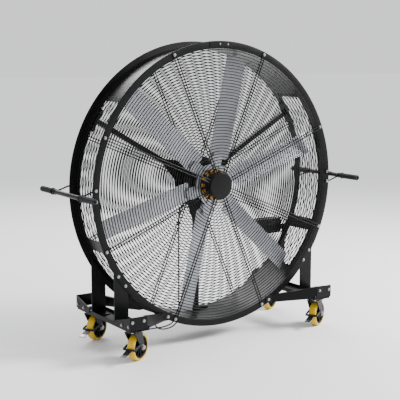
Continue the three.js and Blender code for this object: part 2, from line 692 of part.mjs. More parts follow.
function addTrolleys(parent) {
  const [rail, post, arm] = [sideRail(), upright(), crossArm()];
  const [plate, fork, pedal] = [castorPlate(), castorFork(), brakePedal()];
  const [tyre, core] = [castorTyre(), castorCore()];
  for (const [side, x] of [["right", 1], ["left", -1]]) {
    const trolley = group(parent);
    trolley.scale.x = x;
    node(trolley, "side_rail_" + side, rail, FRAME_BLACK);
    for (const [end, y] of [["front", 1], ["rear", -1]]) {
      const name = "_" + end + "_" + side;
      node(trolley, "upright" + name, post, FRAME_BLACK).scale.y = y;
      node(trolley, "cross_arm" + name, arm, FRAME_BLACK).scale.y = y;
      const swivel = group(parent, x * RAIL_X, -y * CASTOR_Y);
      node(swivel, "castor_plate" + name, plate, ZINC);
      const wheel = group(swivel);
      wheel.rotation.z = rad(CASTOR_TURN);
      node(wheel, "castor_fork" + name, fork, FORK_GREY);
      node(wheel, "castor_tyre" + name, tyre, YELLOW);
      node(wheel, "castor_core" + name, core, CORE_BLACK);
      node(wheel, "brake_pedal" + name, pedal, ZINC);
    }
  }
}

// ---------- handle, right side, at the height of the drum's axis ----------
function handle() {
  const end = HANDLE_HALF - GRIP_END_T - GAP;
  const pipe = bar([HANDLE_X, -end, 0], [HANDLE_X, end, 0], HANDLE_R, HANDLE_FACETS);
  const eyeX = drop(BOLT_R, BRACKET_HALF);
  const rodY = FACE_Y + BRACKET_ROD_R + 1;
  const bracket = [];
  for (const z of [-BRACKET_HALF, BRACKET_HALF]) {
    bracket.push(disc(EYE_R, FACE_Y, FACE_Y + EYE_T, 12).translate([eyeX, 0, z]));
    bracket.push(bar([eyeX + EYE_R - 3, rodY, z * 0.86], [HANDLE_X, rodY, 0], BRACKET_ROD_R, 6));
  }
  return join(pipe, ...bracket, ...bracket.map(mirrorY));
}

// A sleeve with a collar towards the drum and a closed end with a round hole.
function grip() {
  const inner = HANDLE_HALF - GRIP_LENGTH;
  const bore = HANDLE_R + GAP;
  const sleeve = ring(
    [
      [bore, inner],
      [GRIP_R + GRIP_COLLAR, inner],
      [GRIP_R, inner + 8],
      [GRIP_R, HANDLE_HALF],
      [HANDLE_R / 2, HANDLE_HALF],
      [HANDLE_R / 2, HANDLE_HALF - GRIP_END_T],
      [bore, HANDLE_HALF - GRIP_END_T],
    ],
    HANDLE_FACETS,
  );
  return sleeve.translate([HANDLE_X, 0, 0]);
}

function addHandles(parent) {
  const [whole, sleeve] = [handle(), grip()];
  for (const [side, x] of [["right", 1], ["left", -1]]) {
    const both = group(parent, 0, 0, AXIS_Z);
    both.scale.x = x;
    node(both, "handle_" + side, whole, FRAME_BLACK);
    node(both, "grip_rear_" + side, sleeve, GRIP_RUBBER);
    node(both, "grip_front_" + side, sleeve, GRIP_RUBBER).scale.y = -1;
  }
}

// ---------- mains cord ----------
// From the gland's end down inside the drum, through its floor, once round over the hook, and along
// the floor to the coil. The points stay as chosen.
const CORD_ROUTE = [
  [-102.3, 62, 783.7],
  [-116, 62, 770],
  [-131, 62, 753],
  [-142, 62, 730],
  [-148, 62, 700],
  [-150, 62, 650],
  [-150, 62, 520],
  [-150, 62, 390],
  [-150, 62, 260],
  [-150, 62, 139],
  [-151, 62, 112],
  [-159.5, 62.5, 86],
  [-179, 63, 66],
  [-207, 64, 54],
  [-241, 65, 50],
  [-276, 66, 56],
  [-302, 66, 74],
  [-312.5, 66, 99],
  [-302, 66, 124],
  [-277, 66, 141.5],
  [-244, 66, 147.5],
  [-210, 67, 142],
  [-185, 69, 125],
  [-174.5, 72.5, 101],
  [-184, 77, 78],
  [-212, 82, 63],
  [-250, 87, 57],
  [-292, 95, 55],
  [-332, 106, 52],
  [-366, 122, 43],
  [-386, 147, 28],
  [-390, 178, 13],
  [-377, 211, 5],
  [-350, 247, 4.3],
  [-312, 286, 4.3],
  [-262, 322, 4.3],
  [-202, 350, 4.3],
  [-134, 370, 4.3],
  [-62, 378, 4.3],
  [6, 372, 4.3],
  [54, 363, 4.3],
  [90, 361, 4.3],
];

function cord() {
  const points = CORD_ROUTE.map((point) => new THREE.Vector3(...point));
  const curve = new THREE.CatmullRomCurve3(points, false, "centripetal");
  const section = shapeOf(Array.from({ length: 8 }, (_, i) => onCircle(CORD_R, 45 * i)));
  const along = { steps: CORD_STEPS, extrudePath: curve, bevelEnabled: false };
  return solid(new THREE.ExtrudeGeometry(section, along));
}

// A tapered sleeve that stands out of the motor's side.
function gland() {
  const made = join(disc(GLAND_R, 0, 9, 12), disc(GLAND_R - 1, 8, GLAND_LENGTH, 12, CORD_R + 1.2));
  const out = made.rotate([0, 0, -90]).translate([MOTOR_R + GAP, 0, 0]);
  return turnY(out, GLAND_ANGLE).translate([0, CORD_Y, 0]);
}

// A strap from the drum's underside with a tongue and a lip.
function hook() {
  const [x0, x1] = [HOOK_X - HOOK_W / 2, HOOK_X + HOOK_W / 2];
  const y0 = CORD_Y - CORD_R - HOOK_T - 1;
  const top = AXIS_Z - drop(SHELL_R, HOOK_X) + HOOK_W;
  const pad = top - HOOK_W - HOOK_T - 4;
  const tongue = HOOK_Z - HOOK_T;
  const made = join(
    block([x0, y0, tongue], [x1, y0 + HOOK_T, top]),
    block([x0, y0 - HOOK_REACH, pad], [x1, y0 + 1, top]),
    block([x0, y0, tongue], [x1, y0 + HOOK_REACH, HOOK_Z]),
    block([x0, y0 + HOOK_REACH - HOOK_T, tongue], [x1, y0 + HOOK_REACH, HOOK_Z + HOOK_LIP]),
  );
  return cut(made, disc(SHELL_R + GAP, -HALF_DEPTH, HALF_DEPTH, FACETS).translate([0, 0, AXIS_Z]));
}

const coil = () => hoop(COIL_R - COIL_W / 2, COIL_R + COIL_W / 2, GAP, COIL_H, 28).rotate([90, 0, 0]);

// The plug lies beside the coil, its sleeve in line with the turn that it leaves.
function plug() {
  const outer = COIL_R + COIL_W / 2 + GAP;
  const start = drop(outer, TURN_R - SLEEVE_R) + 0.5;
  const bodyFrom = start + SLEEVE_LENGTH;
  const bodyTo = bodyFrom + PLUG_LENGTH;
  const body = join(
    disc(SLEEVE_R, start, bodyFrom + 2, 12, SLEEVE_R + 2),
    disc(PLUG_R - 5, bodyFrom, bodyFrom + 14, 16, PLUG_R),
    disc(PLUG_R, bodyFrom + 13, bodyTo, 16),
    bar([-PIN_SPREAD / 2, bodyTo - 1, 0], [-PIN_SPREAD / 2, bodyTo + PIN_LENGTH, 0], PIN_R, 8),
    bar([PIN_SPREAD / 2, bodyTo - 1, 0], [PIN_SPREAD / 2, bodyTo + PIN_LENGTH, 0], PIN_R, 8),
  );
  return body.rotate([0, 0, 90]).translate([0, -TURN_R, PLUG_Z]);
}

function addCord(parent) {
  node(parent, "cord_gland", gland(), CABLE).position.z = AXIS_Z;
  node(parent, "cord", cord(), CABLE);
  node(parent, "cord_hook", hook(), FRAME_BLACK);
  const wound = group(parent, COIL_X, COIL_Y);
  node(wound, "cord_coil", coil(), CABLE);
  node(wound, "cord_plug", plug(), CABLE);
}

const fan = new THREE.Group();
fan.name = "drum_fan";
addDrum(fan);
const middle = group(fan, 0, 0, AXIS_Z);
node(middle, "front_grille", grille(true), WIRE_BLACK);
node(middle, "rear_grille", mirrorY(grille(false)), WIRE_BLACK);
node(middle, "motor", motor(), MOTOR_GREY);
node(middle, "motor_spider", spider(), FRAME_BLACK);
addImpeller(fan);
node(fan, "control_box", controlBox(), PLASTIC);
node(fan, "speed_knob", speedKnob(), PLASTIC).position.set(BOX_X - KNOB_IN, 0, BOX_Z);
addTrolleys(fan);
addHandles(fan);
addCord(fan);

export default fan;
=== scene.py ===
# %% [markdown]
# # A mobile drum fan, dressed for rendering
#
# The fan's frame, joints and sizes come from its CAD model. This lesson puts the finished surfaces round
# that frame: smooth rolled rims, about forty guard rings, expanded-metal side windows, extruded blades,
# castors, rubber grips and the mains cord. Everything is in metres, +Z up, and the air leaves towards -Y.

# %% Load the frame
import math
from math import cos, pi, radians, sin, sqrt

import bmesh
import bpy
import numpy as np
from mathutils import Matrix, Vector


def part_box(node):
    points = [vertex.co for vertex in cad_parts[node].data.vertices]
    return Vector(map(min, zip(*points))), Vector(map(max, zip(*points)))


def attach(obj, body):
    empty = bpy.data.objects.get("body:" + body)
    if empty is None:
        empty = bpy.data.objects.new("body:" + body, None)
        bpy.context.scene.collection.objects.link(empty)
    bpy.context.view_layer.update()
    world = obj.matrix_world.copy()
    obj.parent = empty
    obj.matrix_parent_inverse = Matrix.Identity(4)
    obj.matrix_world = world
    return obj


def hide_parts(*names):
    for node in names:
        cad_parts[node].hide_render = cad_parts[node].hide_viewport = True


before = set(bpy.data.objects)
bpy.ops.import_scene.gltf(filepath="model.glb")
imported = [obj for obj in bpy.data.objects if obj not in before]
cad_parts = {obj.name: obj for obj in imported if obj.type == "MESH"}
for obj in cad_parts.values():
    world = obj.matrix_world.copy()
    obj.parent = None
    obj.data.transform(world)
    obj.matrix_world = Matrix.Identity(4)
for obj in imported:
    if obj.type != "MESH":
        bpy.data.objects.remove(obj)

scene = bpy.context.scene
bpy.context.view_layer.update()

# %% [markdown]
# ## The camera
# A long lens from well back keeps the big rims nearly true circles. The camera stands a little to the left
# of the fan, at head height, and looks slightly down at the middle of the drum.

# %% The camera
LENS_MM, SENSOR_MM = 88.46, 36.0
CAMERA_AT = Vector((-3.124, -4.607, 1.609))
LOOKS_AT = Vector((-0.1355, -0.1366, 0.8155))
camera = bpy.data.objects.new("camera", bpy.data.cameras.new("camera"))
camera.data.lens, camera.data.sensor_width = LENS_MM, SENSOR_MM
camera.location = CAMERA_AT
camera.rotation_mode = "QUATERNION"
camera.rotation_quaternion = (LOOKS_AT - CAMERA_AT).to_track_quat("-Z", "Y")
scene.collection.objects.link(camera)
scene.camera = camera

# %% [markdown]
# ## The mains cord
# A cord is one fixed length of something that bends evenly. It leaves the motor through its gland, drops
# through the drum's floor, goes once round over a hook, and runs along the ground to a coil behind the
# drum. A curve with a round bevel makes it. The way points are joined by a cubic spline, because its bend
# changes smoothly, as a real cable's does, and the coil's turns are points on the same curve.

# %% The cord's way, in metres
CORD_R = 0.004
MM = 0.001
CORD_ROUTE = [
    (-102.3, 62, 783.7), (-116, 62, 770), (-131, 62, 753), (-142, 62, 730), (-148, 62, 700),
    (-150, 62, 650), (-150, 62, 520), (-150, 62, 390), (-150, 62, 260), (-150, 62, 139),
    (-151, 62, 112), (-159.5, 62.5, 86), (-179, 63, 66), (-207, 64, 54), (-241, 65, 50),
    (-276, 66, 56), (-302, 66, 74), (-312.5, 66, 99), (-302, 66, 124), (-277, 66, 141.5),
    (-244, 66, 147.5), (-210, 67, 142), (-185, 69, 125), (-174.5, 72.5, 101), (-184, 77, 78),
    (-212, 82, 63), (-250, 87, 57), (-292, 95, 55), (-332, 106, 52), (-366, 122, 43),
    (-386, 147, 28), (-390, 178, 13), (-377, 211, 5), (-350, 247, 4.3), (-312, 286, 4.3),
    (-262, 322, 4.3), (-202, 350, 4.3), (-134, 370, 4.3), (-62, 378, 4.3), (6, 372, 4.3),
    (54, 363, 4.3), (90, 361, 4.3),
]
COIL_AT = (130.0, 300.0)
COIL_OUTER, COIL_INNER = 61.0, 34.3  # to the middle of the outermost and innermost turns
TURN_PITCH = 8.3
LAYER_Z = (5.0, 13.6)
PLUG_Z = 17.3
SLEEVE_BACK = 39.0  # from the coil's middle to where the plug's sleeve takes the cord


def ease(x):
    x = min(1.0, max(0.0, x))
    return x * x * (3 - 2 * x)


LIFT_FROM, OUTWARDS_FROM, TURNS = 3.0, 4.0, 7.5  # counted in turns from the start


def coil_points(per_turn=20):
    """The coil's turns: inwards on the floor, up on to them, and outwards again over them."""
    points = []
    for i in range(1, int(TURNS * per_turn) + 1):
        t = i / per_turn
        radius = max(COIL_INNER, COIL_OUTER - TURN_PITCH * t)
        if t > OUTWARDS_FROM:
            radius = min(COIL_OUTER, COIL_INNER + TURN_PITCH * (t - OUTWARDS_FROM))
        z = LAYER_Z[0] + (LAYER_Z[1] - LAYER_Z[0]) * ease((t - LIFT_FROM) / 0.8)
        z += (PLUG_Z - LAYER_Z[1]) * ease((t - TURNS + 0.3) / 0.3)
        angle = pi / 2 - 2 * pi * t
        points.append((COIL_AT[0] + radius * cos(angle), COIL_AT[1] + radius * sin(angle), z))
    print("coil:", TURNS, "turns in two layers")
    return points


def spline_through(points, step):
    """Places a step apart on the natural cubic spline through the points."""
    p = np.array(points, float)
    t = np.concatenate([[0], np.cumsum(np.linalg.norm(np.diff(p, axis=0), axis=1))])
    h = np.diff(t)
    n = len(p)
    a, b = np.eye(n), np.zeros((n, 3))
    for i in range(1, n - 1):
        a[i, i - 1 : i + 2] = h[i - 1], 2 * (h[i - 1] + h[i]), h[i]
        b[i] = 6 * ((p[i + 1] - p[i]) / h[i] - (p[i] - p[i - 1]) / h[i - 1])
    m = np.linalg.solve(a, b)
    at = np.linspace(0, t[-1], int(t[-1] / step) + 1)
    k = np.clip(np.searchsorted(t, at, side="right") - 1, 0, n - 2)
    u, v = (t[k + 1] - at)[:, None], (at - t[k])[:, None]
    w = h[k][:, None]
    return (
        m[k] * u**3 / (6 * w) + m[k + 1] * v**3 / (6 * w)
        + (p[k] / w - m[k] * w / 6) * u + (p[k + 1] / w - m[k + 1] * w / 6) * v
    )


def bevelled_curve(name, line, radius, sides=2):
    curve = bpy.data.curves.new(name, "CURVE")
    curve.dimensions = "3D"
    curve.bevel_depth, curve.bevel_resolution, curve.use_fill_caps = radius, sides, True
    spline = curve.splines.new("POLY")
    spline.points.add(len(line) - 1)
    spline.points.foreach_set("co", np.column_stack([line, np.ones(len(line))]).ravel())
    spline.use_smooth = True
    made = bpy.data.objects.new(name, curve)
    scene.collection.objects.link(made)
    return made


sleeve_x = COIL_AT[0] - SLEEVE_BACK
cord_way = CORD_ROUTE + coil_points() + [
    (x, COIL_AT[1] - COIL_OUTER, PLUG_Z) for x in (COIL_AT[0] - 20, sleeve_x)
]
cord_line = spline_through(cord_way, 6.0) * MM
mains_cord = bevelled_curve("mains_cord", cord_line, CORD_R)

# %% [markdown]
# ## Small tools
# Most pieces of a machine are one of four shapes: turned on a lathe, cut from plate, bent from tube, or
# a block. Each helper below returns plain points and faces, so that shapes can be joined, moved and turned
# before they become a mesh. The edges of real metal are never quite sharp, so `rounded` eases a profile's
# corners and `built` can bevel a whole piece, with normals weighted by face so that flats stay flat.

# %% Shapes as points and faces
RIM_LOW, RIM_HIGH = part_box("front_rim")
AXIS_Z = (RIM_LOW.z + RIM_HIGH.z) / 2
RIM_R = RIM_HIGH.z - AXIS_Z
print("the drum's axis is", round(AXIS_Z, 4), "m up and its rims", round(RIM_R, 4), "m in radius")
ON_AXIS = Matrix.Translation((0, 0, AXIS_Z))


def rounded(corners, radius, steps=4):
    """A closed outline with its corners rounded by one radius, or by one for each corner."""
    n = len(corners)
    radii = radius if hasattr(radius, "__len__") else [radius] * n
    made = []
    for i, corner in enumerate(corners):
        here = Vector(corner)
        back, on = Vector(corners[i - 1]) - here, Vector(corners[(i + 1) % n]) - here
        if radii[i] <= 0:
            made.append(tuple(here))
            continue
        half = back.angle(on) / 2
        cut = min(radii[i] / math.tan(half), back.length * 0.49, on.length * 0.49)
        a, b = here + back.normalized() * cut, here + on.normalized() * cut
        for k in range(steps + 1):
            t = k / steps
            made.append(tuple(a * (1 - t) ** 2 + here * 2 * t * (1 - t) + b * t * t))
    return made


def turned(profile, count=96, place=ON_AXIS):
    """A closed profile of (radius, y) turned about the Y axis."""
    points, faces = [], []
    n = len(profile)
    for i in range(count):
        angle = 2 * pi * i / count
        points += [place @ Vector((r * cos(angle), y, r * sin(angle))) for r, y in profile]
    for i in range(count):
        j = (i + 1) % count
        faces += [(i * n + k, i * n + (k + 1) % n, j * n + (k + 1) % n, j * n + k) for k in range(n)]
    return points, faces


def prism(outline, low, high, place=Matrix()):
    """A flat outline in X and Z, thick from y = low to y = high."""
    n = len(outline)
    points = [place @ Vector((x, y, z)) for y in (low, high) for x, z in outline]
    faces = [tuple(range(n)), tuple(reversed(range(n, 2 * n)))]
    faces += [(k, n + k, n + (k + 1) % n, (k + 1) % n) for k in range(n)]
    return points, faces


def block(low, high, place=Matrix()):
    outline = [(low[0], low[2]), (high[0], low[2]), (high[0], high[2]), (low[0], high[2])]
    return prism(outline, low[1], high[1], place)


def tube(line, radius, sides=16, place=Matrix()):
    """A round bar with closed ends along a line of points."""
    line = [Vector(p) for p in line]
    points, faces = [], []
    side = (line[1] - line[0]).orthogonal().normalized()
    for i, here in enumerate(line):
        ahead = (line[min(i + 1, len(line) - 1)] - line[max(i - 1, 0)]).normalized()
        side = (side - ahead * side.dot(ahead)).normalized()
        other = ahead.cross(side)
        points += [
            place @ (here + (side * cos(2 * pi * k / sides) + other * sin(2 * pi * k / sides)) * radius)
            for k in range(sides)
        ]
    for i in range(len(line) - 1):
        a, b = i * sides, (i + 1) * sides
        faces += [(a + k, a + (k + 1) % sides, b + (k + 1) % sides, b + k) for k in range(sides)]
    faces += [tuple(reversed(range(sides))), tuple(range((len(line) - 1) * sides, len(line) * sides))]
    return points, faces


def joined(*shapes):
    points, faces = [], []
    for p, f in shapes:
        faces += [tuple(k + len(points) for k in face) for face in f]
        points += p
    return points, faces


# %% From shapes to finished pieces
def plain_mesh(name, shape):
    """A clean mesh: doubles merged and every face pointing out."""
    mesh = bpy.data.meshes.new(name)
    mesh.from_pydata([tuple(p) for p in shape[0]], [], shape[1])
    clean = bmesh.new()
    clean.from_mesh(mesh)
    bmesh.ops.remove_doubles(clean, verts=clean.verts, dist=2e-6)
    bmesh.ops.dissolve_degenerate(clean, dist=1e-6, edges=clean.edges)
    bmesh.ops.recalc_face_normals(clean, faces=clean.faces)
    clean.to_mesh(mesh)
    clean.free()
    return mesh


def baked(host):
    """The object's modifiers made real, and removed."""
    evaluated = host.evaluated_get(bpy.context.evaluated_depsgraph_get())
    mesh = bpy.data.meshes.new_from_object(evaluated)
    host.modifiers.clear()
    host.data = mesh
    return host


def hosted(name, mesh):
    made = bpy.data.objects.new(name, mesh)
    scene.collection.objects.link(made)
    return made


def softened(made, bevel, smooth):
    """Bevels the sharp edges, then shades smooth, with flats kept flat."""
    if bevel:
        edge = made.modifiers.new("edge", "BEVEL")
        edge.width, edge.segments, edge.limit_method = bevel, 2, "ANGLE"
        edge.angle_limit, edge.use_clamp_overlap = radians(38), True
        baked(made)
    for face in made.data.polygons:
        face.use_smooth = True
    made.data.set_sharp_from_angle(angle=radians(smooth))
    if bevel:
        made.modifiers.new("flats", "WEIGHTED_NORMAL").keep_sharp = True
        baked(made)
    return made


def settle(made, body, material=None, stands_for=()):
    if material:
        made.data.materials.clear()
        made.data.materials.append(material)
    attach(made, body)
    if stands_for:
        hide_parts(*stands_for)
    return made


def built(name, shape, body, material, stands_for=(), bevel=0.0, smooth=40):
    made = softened(hosted(name, plain_mesh(name, shape)), bevel, smooth)
    return settle(made, body, material, stands_for)


def eased(node, name, bevel, material, body, smooth=40):
    """A copy of a CAD node with its triangles merged into flats and its edges bevelled."""
    clean = bmesh.new()
    clean.from_mesh(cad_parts[node].data)
    bmesh.ops.remove_doubles(clean, verts=clean.verts, dist=1e-5)
    bmesh.ops.dissolve_limit(clean, angle_limit=radians(0.6), verts=clean.verts, edges=clean.edges)
    mesh = bpy.data.meshes.new(name)
    clean.to_mesh(mesh)
    clean.free()
    return settle(softened(hosted(name, mesh), bevel, smooth), body, material, (node,))


# %% Node trees in a few words
def step(tree, kind, inputs=None, **settings):
    """Adds a node, sets its properties, and sets or links its inputs, which are keyed by name or number."""
    made = tree.nodes.new(kind)
    for key, value in settings.items():
        setattr(made, key, value)
    for key, value in (inputs or {}).items():
        if isinstance(value, bpy.types.NodeSocket):
            tree.links.new(value, made.inputs[key])
        else:
            made.inputs[key].default_value = value
    return made


def flow(tree, kind, inputs=None, **settings):
    """Adds a node as `step` does, and gives its first output."""
    return step(tree, kind, inputs, **settings).outputs[0]


def given(label):
    """The output that brings in one of the inputs of the tree that is being built."""
    return into.outputs[label]


def sockets(tree, way, named):
    """Named sockets: each is given by its kind, or by a default whose own type tells the kind."""
    for label, given_as in named.items():
        plain = isinstance(given_as, str)
        kind = given_as if plain else {int: "Int", float: "Float", tuple: "Vector"}[type(given_as)]
        made = tree.interface.new_socket(label, in_out=way, socket_type="NodeSocket" + kind)
        if not plain:
            made.default_value = given_as


def geometry_tree(name, sizes):
    """A Geometry Nodes tree whose named inputs are a mesh, some sizes with defaults, and a finish."""
    tree = bpy.data.node_groups.new(name, "GeometryNodeTree")
    sockets(tree, "INPUT", {"Geometry": "Geometry", **sizes, "Finish": "Material"})
    sockets(tree, "OUTPUT", {"Geometry": "Geometry"})
    return tree, tree.nodes.new("NodeGroupInput"), tree.nodes.new("NodeGroupOutput")


def dress(tree, geometry):
    """Gives a tree's result the finish of its Finish input, and sends it out."""
    skin = step(tree, "GeometryNodeSetMaterial", {"Geometry": geometry, "Material": given("Finish")})
    tree.links.new(skin.outputs[0], out.inputs[0])


def at(tree, **places):
    """A vector whose X, Y and Z are sockets or numbers."""
    return flow(tree, "ShaderNodeCombineXYZ", places)


def grow(name, mesh, tree, **sizes):
    """Runs a Geometry Nodes tree on a mesh and returns the plain result."""
    host = hosted(name, mesh)
    modifier = host.modifiers.new("grow", "NODES")
    modifier.node_group = tree
    for item in tree.interface.items_tree:
        if item.in_out == "INPUT" and item.name in sizes:
            modifier[item.identifier] = sizes[item.name]
    return baked(host)


# %% [markdown]
# ## Finishes
# Every finish starts from the same four effects, each one a node group: a fine grain, slow patches of
# colour, scuffs, and dust on what faces up. A group only gives out masks and heights. The shader itself,
# and every number that is the same all over, stays in the material, where an exporter can read it.

# %% Effects shared by the finishes
def effect(name, inputs, outputs):
    tree = bpy.data.node_groups.new(name, "ShaderNodeTree")
    sockets(tree, "INPUT", {"Place": "Vector", **inputs})
    sockets(tree, "OUTPUT", outputs)
    return tree, tree.nodes.new("NodeGroupInput"), tree.nodes.new("NodeGroupOutput")


def math_step(tree, operation, *values, clamp=False):
    return flow(tree, "ShaderNodeMath", dict(enumerate(values)), operation=operation, use_clamp=clamp)


def noise(tree, place, scale, detail=2.0, rough=0.5):
    return step(
        tree, "ShaderNodeTexNoise", {"Vector": place, "Scale": scale, "Detail": detail, "Roughness": rough}
    ).outputs["Fac"]


def ramp(tree, value, low, high):
    return flow(tree, "ShaderNodeMapRange", {0: value, 1: low, 2: high}, interpolation_type="SMOOTHSTEP")


GRAIN, into, out = effect(
    "fine grain", {"Scale": 900.0, "Patch scale": 9.0}, {"Height": "Float", "Patches": "Float"}
)
fine = noise(GRAIN, given("Place"), given("Scale"), 3.0, 0.6)
coarse = noise(GRAIN, given("Place"), math_step(GRAIN, "MULTIPLY", given("Scale"), 0.21), 1.0)
GRAIN.links.new(math_step(GRAIN, "MULTIPLY_ADD", coarse, 0.6, fine), out.inputs["Height"])
GRAIN.links.new(
    ramp(GRAIN, noise(GRAIN, given("Place"), given("Patch scale"), 4.0, 0.6), 0.3, 0.7), out.inputs["Patches"]
)

SCUFFS, into, out = effect("scuffs", {"Scale": 40.0, "Amount": 0.2}, {"Mask": "Float"})
stretched = flow(
    SCUFFS, "ShaderNodeMapping",
    {"Vector": given("Place"), "Scale": (1.0, 0.22, 0.6), "Rotation": (0.4, 0.7, 0.3)}
)
marks = noise(SCUFFS, stretched, given("Scale"), 6.0, 0.72)
areas = ramp(SCUFFS, noise(SCUFFS, given("Place"), 7.0, 2.0), 0.5, 0.72)
edge = math_step(SCUFFS, "SUBTRACT", 0.72, math_step(SCUFFS, "MULTIPLY", given("Amount"), 0.2))
lit = math_step(SCUFFS, "SUBTRACT", marks, edge)
SCUFFS.links.new(
    math_step(SCUFFS, "MULTIPLY", math_step(SCUFFS, "MULTIPLY", lit, 14.0, clamp=True), areas),
    out.inputs["Mask"]
)

DUST, into, out = effect("dust", {"Amount": 0.3}, {"Mask": "Float"})
up = step(
    DUST, "ShaderNodeSeparateXYZ", {0: step(DUST, "ShaderNodeNewGeometry").outputs["Normal"]}
).outputs["Z"]
lying = ramp(DUST, up, 0.2, 0.95)
patchy = ramp(DUST, noise(DUST, given("Place"), 22.0, 5.0, 0.65), 0.3, 0.75)
DUST.links.new(
    math_step(DUST, "MULTIPLY", math_step(DUST, "MULTIPLY", lying, patchy), given("Amount")), out.inputs["Mask"]
)

BRUSHED, into, out = effect(
    "drawn lines", {"Stretch": (6.0, 900.0, 900.0), "Smudges": 5.0}, {"Lines": "Float", "Smudge": "Float"}
)
drawn = flow(BRUSHED, "ShaderNodeVectorMath", {0: given("Place"), 1: given("Stretch")}, operation="MULTIPLY")
BRUSHED.links.new(noise(BRUSHED, drawn, 1.0, 3.0, 0.6), out.inputs["Lines"])
BRUSHED.links.new(
    ramp(BRUSHED, noise(BRUSHED, given("Place"), given("Smudges"), 5.0, 0.62), 0.35, 0.75), out.inputs["Smudge"]
)
print("effects:", GRAIN.name, SCUFFS.name, DUST.name, BRUSHED.name)

# %% The finishes themselves
def use(tree, group, **inputs):
    made = step(tree, "ShaderNodeGroup", node_tree=group)
    for key, value in inputs.items():
        key = key.replace("_", " ")
        if isinstance(value, bpy.types.NodeSocket):
            tree.links.new(value, made.inputs[key])
        else:
            made.inputs[key].default_value = value
    return made


def blend_colour(tree, mask, a, b):
    made = step(tree, "ShaderNodeMix", data_type="RGBA")
    for socket, value in ((made.inputs[0], mask), (made.inputs[6], a), (made.inputs[7], b)):
        if isinstance(value, bpy.types.NodeSocket):
            tree.links.new(value, socket)
        else:
            socket.default_value = (*value, 1.0) if hasattr(value, "__len__") else value
    return made.outputs[2]


def finish_of(name, colour, rough, metal=0.0, patch=None, grain=900.0, bump=0.00006, scuff=0.15, scuffed=None,
              dust=0.15, specular=0.5, coat=0.0, patches=9.0, spread=0.1):
    """A painted, moulded or plated finish: colour patches, scuffs and dust over one base colour."""
    made = bpy.data.materials.new(name)
    made.use_nodes = True
    tree = made.node_tree
    shader = tree.nodes["Principled BSDF"]
    place = step(tree, "ShaderNodeTexCoord").outputs["Object"]
    skin = use(tree, GRAIN, Place=place, Scale=grain, Patch_scale=patches)
    rubbed = use(tree, SCUFFS, Place=place, Amount=scuff).outputs["Mask"]
    dusty = use(tree, DUST, Place=place, Amount=dust).outputs["Mask"]
    tone = blend_colour(tree, skin.outputs["Patches"], colour, patch or [c * 0.75 for c in colour])
    tone = blend_colour(
        tree, math_step(tree, "MULTIPLY", rubbed, 0.55), tone,
        scuffed or [min(1.0, c * 2.2 + 0.03) for c in colour]
    )
    tone = blend_colour(tree, dusty, tone, (0.33, 0.32, 0.30))
    tree.links.new(tone, shader.inputs["Base Color"])
    gloss = math_step(tree, "MULTIPLY_ADD", skin.outputs["Patches"], spread, rough - spread / 2)
    gloss = math_step(tree, "MULTIPLY_ADD", dusty, 0.5, gloss)
    gloss = math_step(tree, "MULTIPLY_ADD", rubbed, 0.12, gloss, clamp=True)
    tree.links.new(gloss, shader.inputs["Roughness"])
    shader.inputs["Metallic"].default_value = metal
    shader.inputs["Specular IOR Level"].default_value = specular
    shader.inputs["Coat Weight"].default_value = coat
    shader.inputs["Coat Roughness"].default_value = 0.25
    relief = step(tree, "ShaderNodeBump", {"Strength": 0.5, "Distance": bump, "Height": skin.outputs["Height"]})
    tree.links.new(relief.outputs[0], shader.inputs["Normal"])
    return made


frame_paint = finish_of(
    "satin black powder coat", (0.0022, 0.0022, 0.0025), 0.38, grain=700.0, bump=0.0001, dust=0.02,
    specular=0.14
)
drum_sheet = finish_of(
    "black painted drum sheet", (0.0026, 0.0027, 0.0031), 0.32, grain=520.0, bump=0.00008, dust=0.02,
    specular=0.22, patches=5.0
)
guard_wire = finish_of(
    "black coated guard wire", (0.0022, 0.0022, 0.0025), 0.42, grain=900.0, dust=0.01, specular=0.15
)
fork_paint = finish_of(
    "dark grey fork paint", (0.0040, 0.0040, 0.0045), 0.40, metal=0.0, grain=800.0, scuff=0.3, dust=0.03,
    specular=0.25
)
motor_paint = finish_of(
    "dark grey motor paint", (0.012, 0.013, 0.016), 0.48, grain=500.0, bump=0.00015, dust=0.12
)
box_plastic = finish_of(
    "fine grained box plastic", (0.0070, 0.0070, 0.0080), 0.5, grain=1500.0, bump=0.00012, scuff=0.1, dust=0.08
)
knob_plastic = finish_of(
    "smooth knob plastic", (0.010, 0.010, 0.011), 0.28, grain=300.0, bump=0.00001, scuff=0.05
)
core_plastic = finish_of(
    "black wheel core", (0.0030, 0.0030, 0.0034), 0.5, grain=700.0, scuff=0.2, dust=0.03, specular=0.25
)
grip_rubber = finish_of(
    "dark grip rubber", (0.0075, 0.0080, 0.0100), 0.60, grain=1300.0, bump=0.00015, scuff=0.15, dust=0.04,
    specular=0.25
)
cable_rubber = finish_of("black cable sheath", (0.009, 0.009, 0.010), 0.5, grain=900.0, scuff=0.3, specular=0.4)
plug_rubber = finish_of("black moulded plug", (0.011, 0.011, 0.012), 0.45, grain=1200.0, scuff=0.2)
tyre_yellow = finish_of(
    "yellow polyurethane tyre", (0.60, 0.385, 0.006), 0.42, patch=(0.50, 0.31, 0.005), specular=0.25,
    grain=300.0, scuff=0.5, scuffed=(0.20, 0.13, 0.03), dust=0.06, coat=0.2, patches=24.0
)
tyre_seam = finish_of("grey tread seam", (0.035, 0.033, 0.030), 0.6, grain=900.0, scuff=0.4, dust=0.1)
zinc = finish_of(
    "zinc plated steel", (0.36, 0.365, 0.375), 0.36, metal=1.0, patch=(0.26, 0.265, 0.28), grain=600.0,
    scuff=0.3, scuffed=(0.22, 0.21, 0.20), dust=0.1, patches=60.0, spread=0.16
)
brass = finish_of(
    "nickelled plug pin", (0.62, 0.56, 0.40), 0.28, metal=1.0, grain=900.0, bump=0.00001, scuff=0.1, dust=0.0
)
